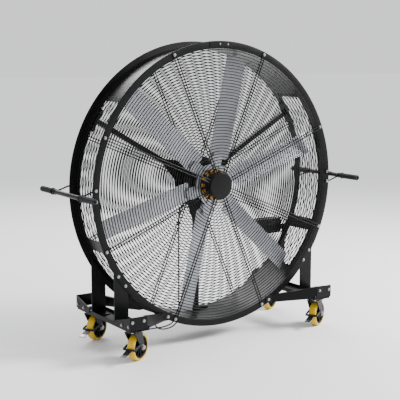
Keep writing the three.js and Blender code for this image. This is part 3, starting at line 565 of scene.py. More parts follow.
amber = finish_of(
    "amber rotor segment", (0.62, 0.30, 0.035), 0.38, metal=0.3, patch=(0.42, 0.19, 0.02), grain=700.0,
    scuff=0.2, dust=0.0, patches=40.0
)
dial_print = finish_of(
    "white dial print", (0.62, 0.62, 0.60), 0.55, grain=1500.0, bump=0.00001, scuff=0.2, dust=0.0
)


def drawn_alloy(name, colour, rough, stretch, metal=0.9):
    """Extruded aluminium: fine lines along the draw, and soft smudges from handling."""
    made = bpy.data.materials.new(name)
    made.use_nodes = True
    tree = made.node_tree
    shader = tree.nodes["Principled BSDF"]
    place = step(tree, "ShaderNodeTexCoord").outputs["UV"]
    lines = use(tree, BRUSHED, Place=place, Stretch=stretch)
    tone = blend_colour(tree, lines.outputs["Smudge"], colour, [c * 0.80 for c in colour])
    tone = blend_colour(
        tree, math_step(tree, "MULTIPLY", lines.outputs["Lines"], 0.35), tone, [c * 1.25 for c in colour]
    )
    tree.links.new(tone, shader.inputs["Base Color"])
    tree.links.new(
        math_step(tree, "MULTIPLY_ADD", lines.outputs["Smudge"], 0.14, rough - 0.05), shader.inputs["Roughness"]
    )
    shader.inputs["Metallic"].default_value = metal
    relief = step(
        tree, "ShaderNodeBump", {"Strength": 0.4, "Distance": 0.00004, "Height": lines.outputs["Lines"]}
    )
    tree.links.new(relief.outputs[0], shader.inputs["Normal"])
    return made


blade_alloy = drawn_alloy("drawn blade aluminium", (0.36, 0.37, 0.395), 0.34, (3.0, 260.0, 1.0))
print(len(bpy.data.materials), "finishes")

# %% [markdown]
# ## What repeats
# Three small Geometry Nodes trees make whatever the fan has many of. The first turns copies of a shape
# round an axis: ribs, fins, spokes, segments. The second puts a bolt or rivet head, with its washer, at
# every point of a mesh, facing the way that the point's `way` attribute says. The third draws the guard.

# %% A tree that repeats a shape round the drum's axis
AROUND, into, out = geometry_tree("repeat round an axis", {"Count": 8, "First turn": 0.0, "Height": 0.0})
spots = flow(AROUND, "GeometryNodeMeshLine", {"Count": given("Count"), "Offset": (0, 0, 0)}, mode="OFFSET")
share = math_step(AROUND, "DIVIDE", flow(AROUND, "GeometryNodeInputIndex"), given("Count"))
turn = math_step(AROUND, "MULTIPLY_ADD", share, -2 * pi, given("First turn"))
spin = at(AROUND, Y=turn)
copies = flow(
    AROUND, "GeometryNodeInstanceOnPoints", {"Points": spots, "Instance": given("Geometry"), "Rotation": spin}
)
lifted = flow(
    AROUND, "GeometryNodeTransform",
    {
        "Geometry": flow(AROUND, "GeometryNodeRealizeInstances", {0: copies}),
        "Translation": at(AROUND, Z=given("Height"))
    }
)
dress(AROUND, lifted)


def around(
    name, shape, count, body, material, stands_for=(), first=0.0, height=None, bevel=0.0, smooth=40
):
    made = grow(name, plain_mesh(name, shape), AROUND, **{"Count": count, "First turn": -radians(first),
                "Height": AXIS_Z if height is None else height, "Finish": material})
    return settle(softened(made, bevel, smooth), body, None, stands_for)


# %% A tree that puts a head on every point
HEADS, into, out = geometry_tree(
    "bolt heads on points",
    {
        "Sides": 6, "Head radius": 0.008, "Head height": 0.006, "Washer radius": 0.011,
        "Washer thickness": 0.0015, "Crown": 0.82
    }
)


def drum_of(sides, bottom, top, height, from_z):
    cone = step(
        HEADS, "GeometryNodeMeshCone",
        {"Vertices": sides, "Radius Bottom": bottom, "Radius Top": top, "Depth": height}
    )
    return flow(
        HEADS, "GeometryNodeTransform", {"Geometry": cone.outputs[0], "Translation": at(HEADS, Z=from_z)}
    )


head_r, head_h, washer_t = given("Head radius"), given("Head height"), given("Washer thickness")
straight = math_step(HEADS, "MULTIPLY", head_h, 0.7)
crown_from = math_step(HEADS, "ADD", washer_t, straight)
head = drum_of(given("Sides"), head_r, head_r, straight, washer_t)
crown = drum_of(
    given("Sides"), head_r, math_step(HEADS, "MULTIPLY", head_r, given("Crown")),
    math_step(HEADS, "MULTIPLY", head_h, 0.3), crown_from
)
washer = drum_of(18, given("Washer radius"), given("Washer radius"), washer_t, 0.0)
whole = step(HEADS, "GeometryNodeJoinGeometry")
for part in (head, crown, washer):
    HEADS.links.new(part, whole.inputs[0])
way = step(
    HEADS, "GeometryNodeInputNamedAttribute", {"Name": "way"}, data_type="FLOAT_VECTOR"
).outputs["Attribute"]
facing = flow(HEADS, "FunctionNodeAlignEulerToVector", {"Vector": way}, axis="Z")
placed = flow(
    HEADS, "GeometryNodeInstanceOnPoints",
    {"Points": given("Geometry"), "Instance": whole.outputs[0], "Rotation": facing}
)
real = flow(HEADS, "GeometryNodeRealizeInstances", {0: placed})
dress(HEADS, real)


M6 = dict(radius=0.0036, height=0.0025, washer=0.0050, thick=0.0008)
M8 = dict(radius=0.0062, height=0.0048, washer=0.0088)
M8_RIM = dict(radius=0.0066, height=0.0050, washer=0.0090)
M10 = dict(radius=0.0075, height=0.0060, washer=0.0115)


def heads(
    name, places, body, material, slot, radius=0.008, height=0.006, washer=0.011, thick=0.0015, sides=6,
    crown=0.82
):
    """Bolt heads at (point, direction) places."""
    mesh = bpy.data.meshes.new(name)
    mesh.from_pydata([tuple(p) for p, _ in places], [], [])
    mesh.attributes.new("way", "FLOAT_VECTOR", "POINT").data.foreach_set(
        "vector", [c for _, d in places for c in d]
    )
    made = grow(
        name, mesh, HEADS,
        **{
            "Sides": sides, "Head radius": radius, "Head height": height, "Washer radius": washer,
            "Washer thickness": thick, "Crown": crown, "Finish": material
        }
    )
    return settle(softened(made, 0.0, 30), body, None)


# %% A tree that draws the guard's rings
RINGS, into, out = geometry_tree(
    "guard rings",
    {
        "Rings": 42, "First radius": 0.08, "Pitch": 0.0164, "Wire radius": 0.0027, "Along": 0.0, "Height": 0.9,
        "Segment": 0.024
    }
)
spots = flow(RINGS, "GeometryNodeMeshLine", {"Count": given("Rings"), "Offset": (0, 0, 0)}, mode="OFFSET")
size = math_step(
    RINGS, "MULTIPLY_ADD", flow(RINGS, "GeometryNodeInputIndex"), given("Pitch"), given("First radius")
)
circle = flow(RINGS, "GeometryNodeCurvePrimitiveCircle", {"Resolution": 200, "Radius": 1.0})
nest = flow(
    RINGS, "GeometryNodeInstanceOnPoints",
    {"Points": spots, "Instance": circle, "Scale": at(RINGS, X=size, Y=size, Z=1.0)}
)
wires = flow(
    RINGS, "GeometryNodeResampleCurve",
    {"Curve": flow(RINGS, "GeometryNodeRealizeInstances", {0: nest}), "Length": given("Segment")}, mode="LENGTH"
)
section = flow(RINGS, "GeometryNodeCurvePrimitiveCircle", {"Resolution": 7, "Radius": given("Wire radius")})
solid = flow(RINGS, "GeometryNodeCurveToMesh", {"Curve": wires, "Profile Curve": section})
stood = flow(RINGS, "GeometryNodeTransform", {"Geometry": solid, "Rotation": (pi / 2, 0, 0),
             "Translation": at(RINGS, Y=given("Along"), Z=given("Height"))})
dress(RINGS, stood)

# %% [markdown]
# ## The drum
# Each rim is a steel angle rolled into a ring: a flat face with a leg that the sheet wall sits on. A lathe
# profile with eased corners gives it the long thin highlights of painted steel.

# %% Rims
LEG_R = RIM_R - 0.038
FRONT, BACK = RIM_LOW.y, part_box("rear_rim")[1].y
T = 0.004
SLOT_FRAME = "frame_paint"
angle_section = [
    (LEG_R, FRONT), (RIM_R, FRONT), (RIM_R, FRONT + T), (LEG_R + T, FRONT + T), (LEG_R + T, FRONT + 0.036),
    (LEG_R, FRONT + 0.036)
]
section = rounded(angle_section, [0.004, 0.0012, 0.0012, 0.002, 0.0012, 0.0012], 3)
built("front_rim_ring", turned(section, 216), "frame", frame_paint, ["front_rim"], smooth=60)
built(
    "rear_rim_ring", turned([(r, -y) for r, y in section], 216), "frame", frame_paint, ["rear_rim"],
    smooth=60
)


def on_rim(radius, degrees, y):
    return Vector((radius * cos(radians(degrees)), y, AXIS_Z + radius * sin(radians(degrees))))


def arc_outline(inner, outer, start, end, count):
    angles = [radians(start + (end - start) * i / count) for i in range(count + 1)]
    return [(outer * cos(a), outer * sin(a)) for a in angles] + [
        (inner * cos(a), inner * sin(a)) for a in reversed(angles)
    ]


SPLICE_T = 0.0028
splice = arc_outline(LEG_R + 0.006, RIM_R - 0.004, 84.3, 95.1, 10)
for name, y0 in (("front_splice_plate", FRONT - SPLICE_T), ("rear_splice_plate", BACK)):
    built(name, prism(splice, y0, y0 + SPLICE_T, ON_AXIS), "frame", frame_paint, bevel=0.0006)

# %% [markdown]
# ## The wall of the drum
# The wall is thin sheet, rolled to a circle. Its sides have long windows of expanded metal: sheet that is
# slit and pulled open, so that its strands run in zigzags and meet at flat knuckles. The plain sheet is a
# grid with the windows left open, thickened by Solidify. The strands are drawn flat by Geometry Nodes,
# given a flat section, and then rolled to the drum's radius, in the order that a factory does it.

# %% Plain sheet with its windows
WALL_R = LEG_R - 0.0003
WALL_T = 0.0024
WINDOW_Y = (-0.087, 0.093)
RIGHT_WINDOWS = [(-44.0, -25.5), (-20.0, 39.0)]
LEFT_WINDOWS = [(141.0, 200.0), (205.5, 224.0)]


def rolled_sheet(name, start, end, windows, stands_for):
    marks = sorted({start, end, *[a for w in windows for a in w]})
    angles = [marks[0]]
    for a, b in zip(marks, marks[1:]):
        n = max(1, round((b - a) / 1.25))
        angles += [a + (b - a) * i / n for i in range(1, n + 1)]
    rows = [FRONT, WINDOW_Y[0], WINDOW_Y[1], BACK]
    points = [on_rim(WALL_R, a, y) for a in angles for y in rows]
    faces = []
    for i, (a, b) in enumerate(zip(angles, angles[1:])):
        for j in range(3):
            middle = (a + b) / 2
            if j == 1 and any(w[0] < middle < w[1] for w in windows):
                continue
            k = i * 4 + j
            faces.append((k, k + 1, k + 5, k + 4))
    sheet = hosted(name, plain_mesh(name, (points, faces)))
    first = sheet.data.polygons[0]
    outwards = first.normal.dot(first.center - Vector((0, first.center.y, AXIS_Z)))
    if outwards < 0:
        sheet.data.flip_normals()
    wall = sheet.modifiers.new("thickness", "SOLIDIFY")
    wall.thickness, wall.offset = WALL_T, -1.0
    baked(sheet)
    return settle(softened(sheet, 0.0, 30), "frame", drum_sheet, stands_for)


rolled_sheet("drum_sheet_top", 40.1, 139.9, [], ["shell_top"])
rolled_sheet("drum_sheet_bottom", 225.1, 314.9, [], ["shell_bottom"])
rolled_sheet("drum_side_right", -45.0, 40.0, RIGHT_WINDOWS, ["side_mesh_right"])
rolled_sheet("drum_side_left", 140.0, 225.0, LEFT_WINDOWS, ["side_mesh_left"])

# %% Expanded metal: strands drawn flat, then rolled
EXPANDED, into, out = geometry_tree(
    "expanded metal",
    {
        "Points along": 33, "Strands": 13, "Half diamond": 0.046, "Row": 0.014, "Swing": 0.0052,
        "Strand width": 0.0042, "Strand thickness": 0.0022, "Start angle": 0.0, "First row": -0.08,
        "Radius": 0.76, "Height": 0.9
    }
)
one = flow(
    EXPANDED, "GeometryNodeMeshLine", {"Count": given("Points along"), "Offset": (0.01, 0, 0)}, mode="OFFSET"
)
one = flow(EXPANDED, "GeometryNodeMeshToCurve", {0: one})
many = step(
    EXPANDED, "GeometryNodeDuplicateElements", {"Geometry": one, "Amount": given("Strands")}, domain="SPLINE"
)
index = math_step(EXPANDED, "MODULO", flow(EXPANDED, "GeometryNodeInputIndex"), given("Points along"))
half_wave = math_step(EXPANDED, "FLOOR", math_step(EXPANDED, "DIVIDE", index, 4.0))
phase = math_step(EXPANDED, "MODULO", index, 4.0)


def by_phase(values):
    """One value for each of a half wave's four points: the two ends of a knuckle, then two on the slant."""
    pick = step(EXPANDED, "GeometryNodeIndexSwitch", data_type="FLOAT")
    while len(pick.index_switch_items) < len(values):
        pick.index_switch_items.new()
    EXPANDED.links.new(phase, pick.inputs[0])
    for k, value in enumerate(values):
        pick.inputs[k + 1].default_value = value
    return pick.outputs[0]


along = math_step(
    EXPANDED, "MULTIPLY", math_step(EXPANDED, "ADD", half_wave, by_phase((0.0, 0.24, 0.46, 0.78))),
    given("Half diamond")
)
strand = many.outputs["Duplicate Index"]
parity = math_step(EXPANDED, "MODULO", math_step(EXPANDED, "ADD", half_wave, strand), 2.0)
swing = math_step(EXPANDED, "MULTIPLY", math_step(EXPANDED, "MULTIPLY_ADD", parity, 2.0, -1.0), given("Swing"))
swing = math_step(EXPANDED, "MULTIPLY", swing, by_phase((1.0, 1.0, 0.42, -0.42)))
across = math_step(
    EXPANDED, "ADD", math_step(EXPANDED, "MULTIPLY_ADD", strand, given("Row"), given("First row")), swing
)
fullness = by_phase((2.1, 2.1, 0.95, 0.95))
flat = flow(
    EXPANDED, "GeometryNodeSetPosition",
    {"Geometry": many.outputs["Geometry"], "Position": at(EXPANDED, X=along, Y=across)}
)
flat = flow(EXPANDED, "GeometryNodeSetCurveNormal", {"Curve": flat}, mode="Z_UP")
flat = flow(EXPANDED, "GeometryNodeSetCurveRadius", {"Curve": flat, "Radius": fullness})
blank = flow(
    EXPANDED, "GeometryNodeCurvePrimitiveQuadrilateral",
    {0: given("Strand width"), 1: given("Strand thickness")}, mode="RECTANGLE"
)
pulled = flow(EXPANDED, "GeometryNodeCurveToMesh", {"Curve": flat, "Profile Curve": blank, "Fill Caps": True})
where = step(EXPANDED, "ShaderNodeSeparateXYZ", {0: flow(EXPANDED, "GeometryNodeInputPosition")})
angle = math_step(
    EXPANDED, "ADD", given("Start angle"), math_step(EXPANDED, "DIVIDE", where.outputs["X"], given("Radius"))
)
reach = math_step(EXPANDED, "ADD", given("Radius"), where.outputs["Z"])
round_x = math_step(EXPANDED, "MULTIPLY", reach, math_step(EXPANDED, "COSINE", angle))
round_z = math_step(EXPANDED, "MULTIPLY_ADD", reach, math_step(EXPANDED, "SINE", angle), given("Height"))
rolled = flow(
    EXPANDED, "GeometryNodeSetPosition",
    {"Geometry": pulled, "Position": at(EXPANDED, X=round_x, Y=where.outputs["Y"], Z=round_z)}
)
dress(EXPANDED, rolled)

MESH_R = WALL_R - 0.0042
DIAMOND, STRANDS = 0.092, 14
STRAND_WIDTH, STRAND_THICKNESS = 0.0029, 0.0016
SPARE = 0.6  # degrees of strand behind the sheet at each end
ROW = (WINDOW_Y[1] - WINDOW_Y[0] + 0.008) / (STRANDS - 1)
for side, windows in (("right", RIGHT_WINDOWS), ("left", LEFT_WINDOWS)):
    for place, (start, end) in zip(("low", "high") if side == "right" else ("high", "low"), windows):
        length = MESH_R * radians(end - start + 2 * SPARE)
        waves = round(length / (DIAMOND / 2))
        made = grow(
            f"expanded_mesh_{side}_{place}", bpy.data.meshes.new("blank"), EXPANDED,
            **{
                "Points along": 4 * waves + 2, "Strands": STRANDS, "Half diamond": length / waves, "Row": ROW,
                "Swing": ROW * 0.345, "Strand width": STRAND_WIDTH, "Strand thickness": STRAND_THICKNESS,
                "Start angle": radians(start - SPARE), "First row": WINDOW_Y[0] - 0.004, "Radius": MESH_R,
                "Height": AXIS_Z, "Finish": drum_sheet
            }
        )
        settle(softened(made, 0.0, 25), "frame", None)
        print(made.name, waves / 2, "diamonds round the drum,", len(made.data.polygons), "faces")

# %% Straps and rivets that hold the windows
STRAP_T = 0.0022


def rim_strap(name, degrees, width, y0, y1):
    half = math.degrees(width / 2 / WALL_R)
    outline = arc_outline(WALL_R, WALL_R + STRAP_T, degrees - half, degrees + half, 4)
    return built(name, prism(outline, y0, y1, ON_AXIS), "frame", drum_sheet, bevel=0.0005)


rivets = []
for name, degrees in (
    ("seam_top_right", 40.0), ("seam_low_right", -45.0), ("seam_top_left", 140.0), ("seam_low_left", 225.0)
):
    rim_strap(name, degrees, 0.034, FRONT + 0.038, BACK - 0.038)
    for side in (-0.6, 0.6):
        for y in (-0.082, -0.041, 0.0, 0.041, 0.082):
            spot = on_rim(WALL_R + STRAP_T, degrees + side, y)
            rivets.append((spot, (spot - Vector((0, y, AXIS_Z))).normalized()))
heads(
    "wall_rivets", rivets, "frame", drum_sheet, "drum_sheet", radius=0.0042, height=0.0024, washer=0.005,
    thick=0.0004, sides=12, crown=0.55
)

# %% [markdown]
# ## The guards
# Forty-odd wire rings are welded behind eight pairs of spoke wires, and each pair ends in a tab that is
# bolted on the rim. A flat cap covers the hub at the front; at the rear the middle is an open ring.

# %% Guards, front and rear
FACE = BACK + 0.0003
WIRE_R, SPOKE_WIRE_R = 0.00265, 0.0031
BOLT_R = RIM_R - 0.017
CAP_R = 0.075
SPOKE_FIRST, SPOKES = 22.5, 8
RING_COUNT = 42
FIRST_RING, LAST_RING = 0.0795, 0.752
RING_PITCH = (LAST_RING - FIRST_RING) / (RING_COUNT - 1)


def spoke_shape(sign, inner):
    """A pair of wires with a pressed tab at the rim, along +X."""
    y = sign * (FACE + 0.003)
    pair = [tube([(inner, y, z), (BOLT_R - 0.012, y, z)], SPOKE_WIRE_R, 8) for z in (-0.008, 0.008)]
    tab = rounded(
        [
            (BOLT_R - 0.020, -0.012), (BOLT_R + 0.0125, -0.012), (BOLT_R + 0.0125, 0.012),
            (BOLT_R - 0.020, 0.012)
        ],
        0.004, 3
    )
    low, high = sorted((sign * FACE, sign * (FACE + 0.003)))
    return joined(*pair, prism(tab, low, high))


inner = CAP_R - 0.012
for end, sign in (("front", -1), ("rear", 1)):
    made = grow(
        f"{end}_guard_rings", bpy.data.meshes.new("rings"), RINGS,
        **{
            "Rings": RING_COUNT, "First radius": FIRST_RING, "Pitch": RING_PITCH, "Wire radius": WIRE_R,
            "Along": sign * (FACE - 0.0022), "Height": AXIS_Z, "Finish": guard_wire
        }
    )
    settle(softened(made, 0.0, 60), "frame", None, [f"{end}_grille"])
    print(made.name, len(made.data.polygons), "faces")
    around(
        f"{end}_guard_spokes", spoke_shape(sign, inner), SPOKES, "frame", guard_wire,
        first=SPOKE_FIRST, smooth=50
    )
    spots = [on_rim(BOLT_R, SPOKE_FIRST + 45 * k, sign * (FACE + 0.003)) for k in range(SPOKES)]
    heads(f"{end}_guard_bolts", [(p, (0, sign, 0)) for p in spots], "frame", zinc, "zinc_plate", **M8_RIM)

y = -FACE - 0.006
cap = rounded(
    [(0, y - 0.0085), (CAP_R - 0.004, y - 0.0085), (CAP_R, y - 0.004), (CAP_R, y + 0.002), (0, y + 0.002)],
    [0, 0.002, 0.003, 0.001, 0], 3
)
built("guard_cap", turned(cap, 64), "frame", frame_paint, smooth=40)
y = FACE + 0.005
ring = rounded(
    [(CAP_R - 0.022, y - 0.002), (CAP_R, y - 0.002), (CAP_R, y + 0.002), (CAP_R - 0.022, y + 0.002)], 0.0008, 2
)
built("rear_guard_centre", turned(ring, 64), "frame", guard_wire, smooth=40)

# %% [markdown]
# ## The impeller
# Each blade is one length of extruded aluminium, cut off square, with a tongue that is clamped between the
# hub's two plates. A blade is a list of cross-sections joined by faces. Its UV map runs along the draw, so
# that the fine lines of the die follow the blade wherever it turns.

# %% Blades
BLADES, BLADE_FIRST, PITCH = 6, 17.5, radians(14.5)
BLADE_Y, BLADE_SHIFT = -0.046, 0.017
TIP_R, CHORD, THICK = 0.735, 0.118, 0.015


def wing_section(count=22):
    """The outline of the extrusion: full at the leading edge, thin at the trailing one, slightly cambered."""
    top, bottom = [], []
    for i in range(count + 1):
        t = 0.5 - 0.5 * cos(pi * i / count)
        thick = THICK * 2.6 * (
            0.2969 * sqrt(t) - 0.126 * t - 0.3516 * t * t + 0.2843 * t**3 - 0.1015 * t**4
        ) + 0.0007
        camber = 0.030 * CHORD * 4 * t * (1 - t)
        x = (t - 0.5) * CHORD
        top.append((x, camber + thick))
        bottom.append((x, camber - thick * 0.75))
    return top + bottom[::-1]


def blade_mesh(name, degrees):
    section = wing_section()
    n = len(section)
    stations = [
        (0.150, 0.72), (0.158, 0.93), (0.168, 1.0),
        *[(0.168 + (TIP_R - 0.176) * i / 10, 1.0) for i in range(1, 11)], (TIP_R - 0.003, 0.995), (TIP_R, 0.965)
    ]
    rows, uvs = [], []
    turn = Matrix.Rotation(-radians(degrees), 4, "Y")
    for radius, size in stations:
        for k, (c, t) in enumerate(section):
            u = c * size * cos(PITCH) + t * size * sin(PITCH)
            v = -c * size * sin(PITCH) + t * size * cos(PITCH)
            rows.append(ON_AXIS @ turn @ Vector((radius, BLADE_Y + v, -BLADE_SHIFT - u)))
            uvs.append((radius, k / n * 2 * CHORD))
    faces = []
    for i in range(len(stations) - 1):
        a, b = i * n, (i + 1) * n
        faces += [(a + k, a + (k + 1) % n, b + (k + 1) % n, b + k) for k in range(n)]
    faces += [tuple(range(n)), tuple(reversed(range(len(rows) - n, len(rows))))]
    root = rounded(
        [(0.067, -0.033), (0.150, -0.033), (0.176, -0.024), (0.176, 0.024), (0.150, 0.033), (0.067, 0.033)],
        0.005, 3
    )
    tongue = prism(root, BLADE_Y - 0.0155, BLADE_Y + 0.0155, ON_AXIS @ turn)
    uvs += [(p.x, p.z) for p in tongue[0]]
    points, faces = joined((rows, faces), tongue)
    mesh = bpy.data.meshes.new(name)
    mesh.from_pydata([tuple(p) for p in points], [], faces)
    layer = mesh.uv_layers.new(name="along the draw")
    for loop in mesh.loops:
        layer.data[loop.index].uv = uvs[loop.vertex_index]
    clean = bmesh.new()
    clean.from_mesh(mesh)
    bmesh.ops.recalc_face_normals(clean, faces=clean.faces)
    clean.to_mesh(mesh)
    clean.free()
    return mesh


for k in range(BLADES):
    made = softened(hosted(f"wing_{k + 1}", blade_mesh(f"wing_{k + 1}", BLADE_FIRST + 60 * k)), 0.0, 42)
    settle(made, "impeller", blade_alloy, [f"blade_{k + 1}"])

# %% Hub, with its clamp plates and amber segments
HUB_FRONT, HUB_BACK = -0.0623, -0.0297
hub_alloy = finish_of(
    "turned hub aluminium", (0.42, 0.43, 0.45), 0.36, metal=0.9, patch=(0.34, 0.35, 0.37), grain=900.0,
    scuff=0.3, scuffed=(0.25, 0.25, 0.25), dust=0.0, patches=30.0
)
front_plate = rounded(
    [(0.058, HUB_FRONT - 0.006), (0.118, HUB_FRONT - 0.006), (0.118, HUB_FRONT), (0.058, HUB_FRONT)],
    [0, 0.002, 0.002, 0], 3
)
built("hub_front_plate", turned(front_plate, 72), "impeller", hub_alloy, ["impeller_hub"])
back_plate = rounded(
    [(0.040, HUB_BACK), (0.133, HUB_BACK), (0.133, HUB_BACK + 0.006), (0.040, HUB_BACK + 0.006)],
    [0, 0.002, 0.002, 0], 3
)
built("hub_back_plate", turned(back_plate, 72), "impeller", frame_paint)
spindle = rounded(
    [
        (0, HUB_FRONT - 0.004), (0.0595, HUB_FRONT - 0.004), (0.0595, HUB_BACK + 0.001),
        (0.030, HUB_BACK + 0.012), (0.019, HUB_BACK + 0.012), (0.019, 0.0175), (0, 0.0175)
    ],
    [0, 0.001, 0.001, 0.004, 0, 0.001, 0], 3
)
built("hub_spindle", turned(spindle, 56), "impeller", hub_alloy)
boss = rounded(
    [
        (0, HUB_FRONT - 0.0165), (0.060, HUB_FRONT - 0.0165), (0.064, HUB_FRONT - 0.012),
        (0.088, HUB_FRONT - 0.012), (0.090, HUB_FRONT - 0.006), (0, HUB_FRONT - 0.006)
    ],
    [0, 0.003, 0.002, 0.002, 0.001, 0], 3
)
built("hub_boss", turned(boss, 64), "impeller", core_plastic)
segment = arc_outline(0.0655, 0.0875, -6.5, 6.5, 4)
around(
    "hub_segments", prism(segment, HUB_FRONT - 0.0160, HUB_FRONT - 0.0115), 14, "impeller", amber,
    bevel=0.001
)
plate_bolts = []
for k in range(BLADES):
    for radius, side in ((0.102, -0.019), (0.102, 0.019)):
        a = radians(BLADE_FIRST + 60 * k)
        plate_bolts.append(
            (
                Vector(
                    (
                        radius * cos(a) - side * sin(a), HUB_FRONT - 0.006,
                        AXIS_Z + radius * sin(a) + side * cos(a)
                    )
                ),
                (0, -1, 0)
            )
        )
heads("hub_bolts", plate_bolts, "impeller", zinc, "zinc_plate", **M8)

# %% [markdown]
# ## Motor and spider
# The motor's casing is turned, and its cooling fins are one fin repeated round the axis. The spider that
# carries it is welded from plate and flat bar: its CAD solids are right as they are, so the piece is a
# copy of them with eased edges.

# %% Motor
MOTOR_FRONT, MOTOR_BACK = -0.008, 0.0977
casing = [
    (0.0205, MOTOR_FRONT), (0.040, MOTOR_FRONT - 0.002), (0.044, MOTOR_FRONT + 0.003),
    (0.086, MOTOR_FRONT + 0.004), (0.094, MOTOR_FRONT + 0.014), (0.103, MOTOR_FRONT + 0.015),
    (0.103, MOTOR_FRONT + 0.024), (0.099, MOTOR_FRONT + 0.025), (0.099, MOTOR_BACK - 0.023),
    (0.103, MOTOR_BACK - 0.022), (0.103, MOTOR_BACK - 0.012), (0.096, MOTOR_BACK - 0.010), (0.094, MOTOR_BACK),
    (0.0205, MOTOR_BACK)
]
built(
    "motor_casing", turned(rounded(casing, 0.0012, 2), 72), "frame", motor_paint, ["motor"],
    smooth=35
)
fin = rounded([(0.0975, -0.0016), (0.111, -0.0012), (0.111, 0.0012), (0.0975, 0.0016)], 0.0008, 2)
around(
    "motor_fins", prism(fin, MOTOR_FRONT + 0.024, MOTOR_BACK - 0.022), 36, "frame", motor_paint,
    first=5.0, smooth=50
)
eased("motor_spider", "spider_plate", 0.0014, frame_paint, "frame")
SPIDER_ARMS = (30, 150, 270)
spider_bolts = []
for degrees in SPIDER_ARMS:
    turn = ON_AXIS @ Matrix.Rotation(-radians(degrees), 4, "Y")
    spider_bolts += [(turn @ Vector((r, 0.1065, s)), (0, 1, 0)) for r, s in ((0.128, 0.034), (0.128, -0.034))]
heads("spider_bolts", spider_bolts, "frame", zinc, "zinc_plate", **M10)
foot_bolts = []
for degrees in SPIDER_ARMS:
    for side in (-3.0, 3.0):
        for y in (0.094, 0.120):
            spot = on_rim(WALL_R + 0.0002, degrees + side, y)
            foot_bolts.append((spot, (spot - Vector((0, y, AXIS_Z))).normalized()))
heads(
    "spider_foot_bolts", foot_bolts, "frame", frame_paint, SLOT_FRAME, radius=0.0065, height=0.004,
    washer=0.009, thick=0.001
)

# %% [markdown]
# ## Control box
# A moulded box with an overlapping lid, four lid screws and one knob. The dial's marks are small raised
# bars that get longer as the speed goes up, so they read without any lettering.

# %% Control box and knob
box_low, box_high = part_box("control_box")
LID_Y, BOX_BACK = box_high.y - 0.008, box_high.y
x0, x1, z0, z1 = 0.463, 0.669, box_low.z + 0.002, box_high.z - 0.002
body = prism(rounded([(x0, z0), (x1, z0), (x1, z1), (x0, z1)], 0.006, 4), 0.1548, LID_Y - 0.0012)
lid = prism(
    rounded(
        [
            (x0 - 0.002, z0 - 0.002), (x1 + 0.002, z0 - 0.002), (x1 + 0.002, z1 + 0.002),
            (x0 - 0.002, z1 + 0.002)
        ],
        0.008, 4
    ),
    LID_Y, BOX_BACK
)
built("control_case", joined(body, lid), "frame", box_plastic, ["control_box"], bevel=0.0016)
bracket = joined(
    block((0.566, 0.1508, 0.530), (0.7146, 0.1548, 0.564)),
    block((0.6926, FACE, 0.530), (0.7146, 0.1520, 0.564))
)
built("control_bracket", bracket, "frame", frame_paint, bevel=0.001)
corners = [(x, BOX_BACK, z) for x in (x0 + 0.009, x1 - 0.009) for z in (z0 + 0.009, z1 - 0.009)]
heads(
    "lid_screws", [(c, (0, 1, 0)) for c in corners], "frame", zinc, "zinc_plate", radius=0.0034, height=0.0018,
    washer=0.0040, thick=0.0004, sides=14, crown=0.6
)
KNOB = Vector((0.516, 0.217, 0.557))
knob_at = Matrix.Translation((KNOB.x, 0, KNOB.z))
knob = rounded(
    [(0, 0.2172), (0.0165, 0.2172), (0.0165, 0.2195), (0.0145, 0.2350), (0, 0.2350)],
    [0, 0.0006, 0.0006, 0.0022, 0], 4
)
built("speed_knob_skirt", turned(knob, 40, knob_at), "speed_dial", knob_plastic, ["speed_knob"])
ridge = rounded([(-0.0032, -0.0142), (0.0032, -0.0142), (0.0026, 0.0142), (-0.0026, 0.0142)], 0.0016, 3)
built(
    "speed_knob_ridge", prism(ridge, 0.2345, 0.2388, knob_at), "speed_dial", knob_plastic,
    bevel=0.0008
)
built(
    "speed_knob_mark",
    prism([(-0.0006, 0.004), (0.0006, 0.004), (0.0006, 0.0125), (-0.0006, 0.0125)], 0.2387, 0.2391, knob_at),
    "speed_dial", dial_print
)
marks = []
for k in range(10):
    a = radians(90 + 135 - 30 * k)
    length = 0.002 + 0.0003 * k
    turn = knob_at @ Matrix.Rotation(-a, 4, "Y")
    marks.append(
        prism(
            [(0.0205, -0.0005), (0.0205 + length, -0.0005), (0.0205 + length, 0.0005), (0.0205, 0.0005)],
            BOX_BACK - 0.0002, BOX_BACK + 0.0003, turn
        )
    )
built("dial_marks", joined(*marks), "frame", dial_print)

# %% [markdown]
# ## Trolleys
# Rails, posts and arms are plain bent and cut steel. They keep their CAD shape with eased edges, and the
# bolts that hold them together go on in one pass for each size.

# %% Rails, posts and arms
for side in ("right", "left"):
    eased(f"side_rail_{side}", f"rail_{side}", 0.0012, frame_paint, "frame")
    for end in ("front", "rear"):
        eased(f"upright_{end}_{side}", f"post_{end}_{side}", 0.0014, frame_paint, "frame")
        eased(f"cross_arm_{end}_{side}", f"arm_{end}_{side}", 0.0010, frame_paint, "frame")

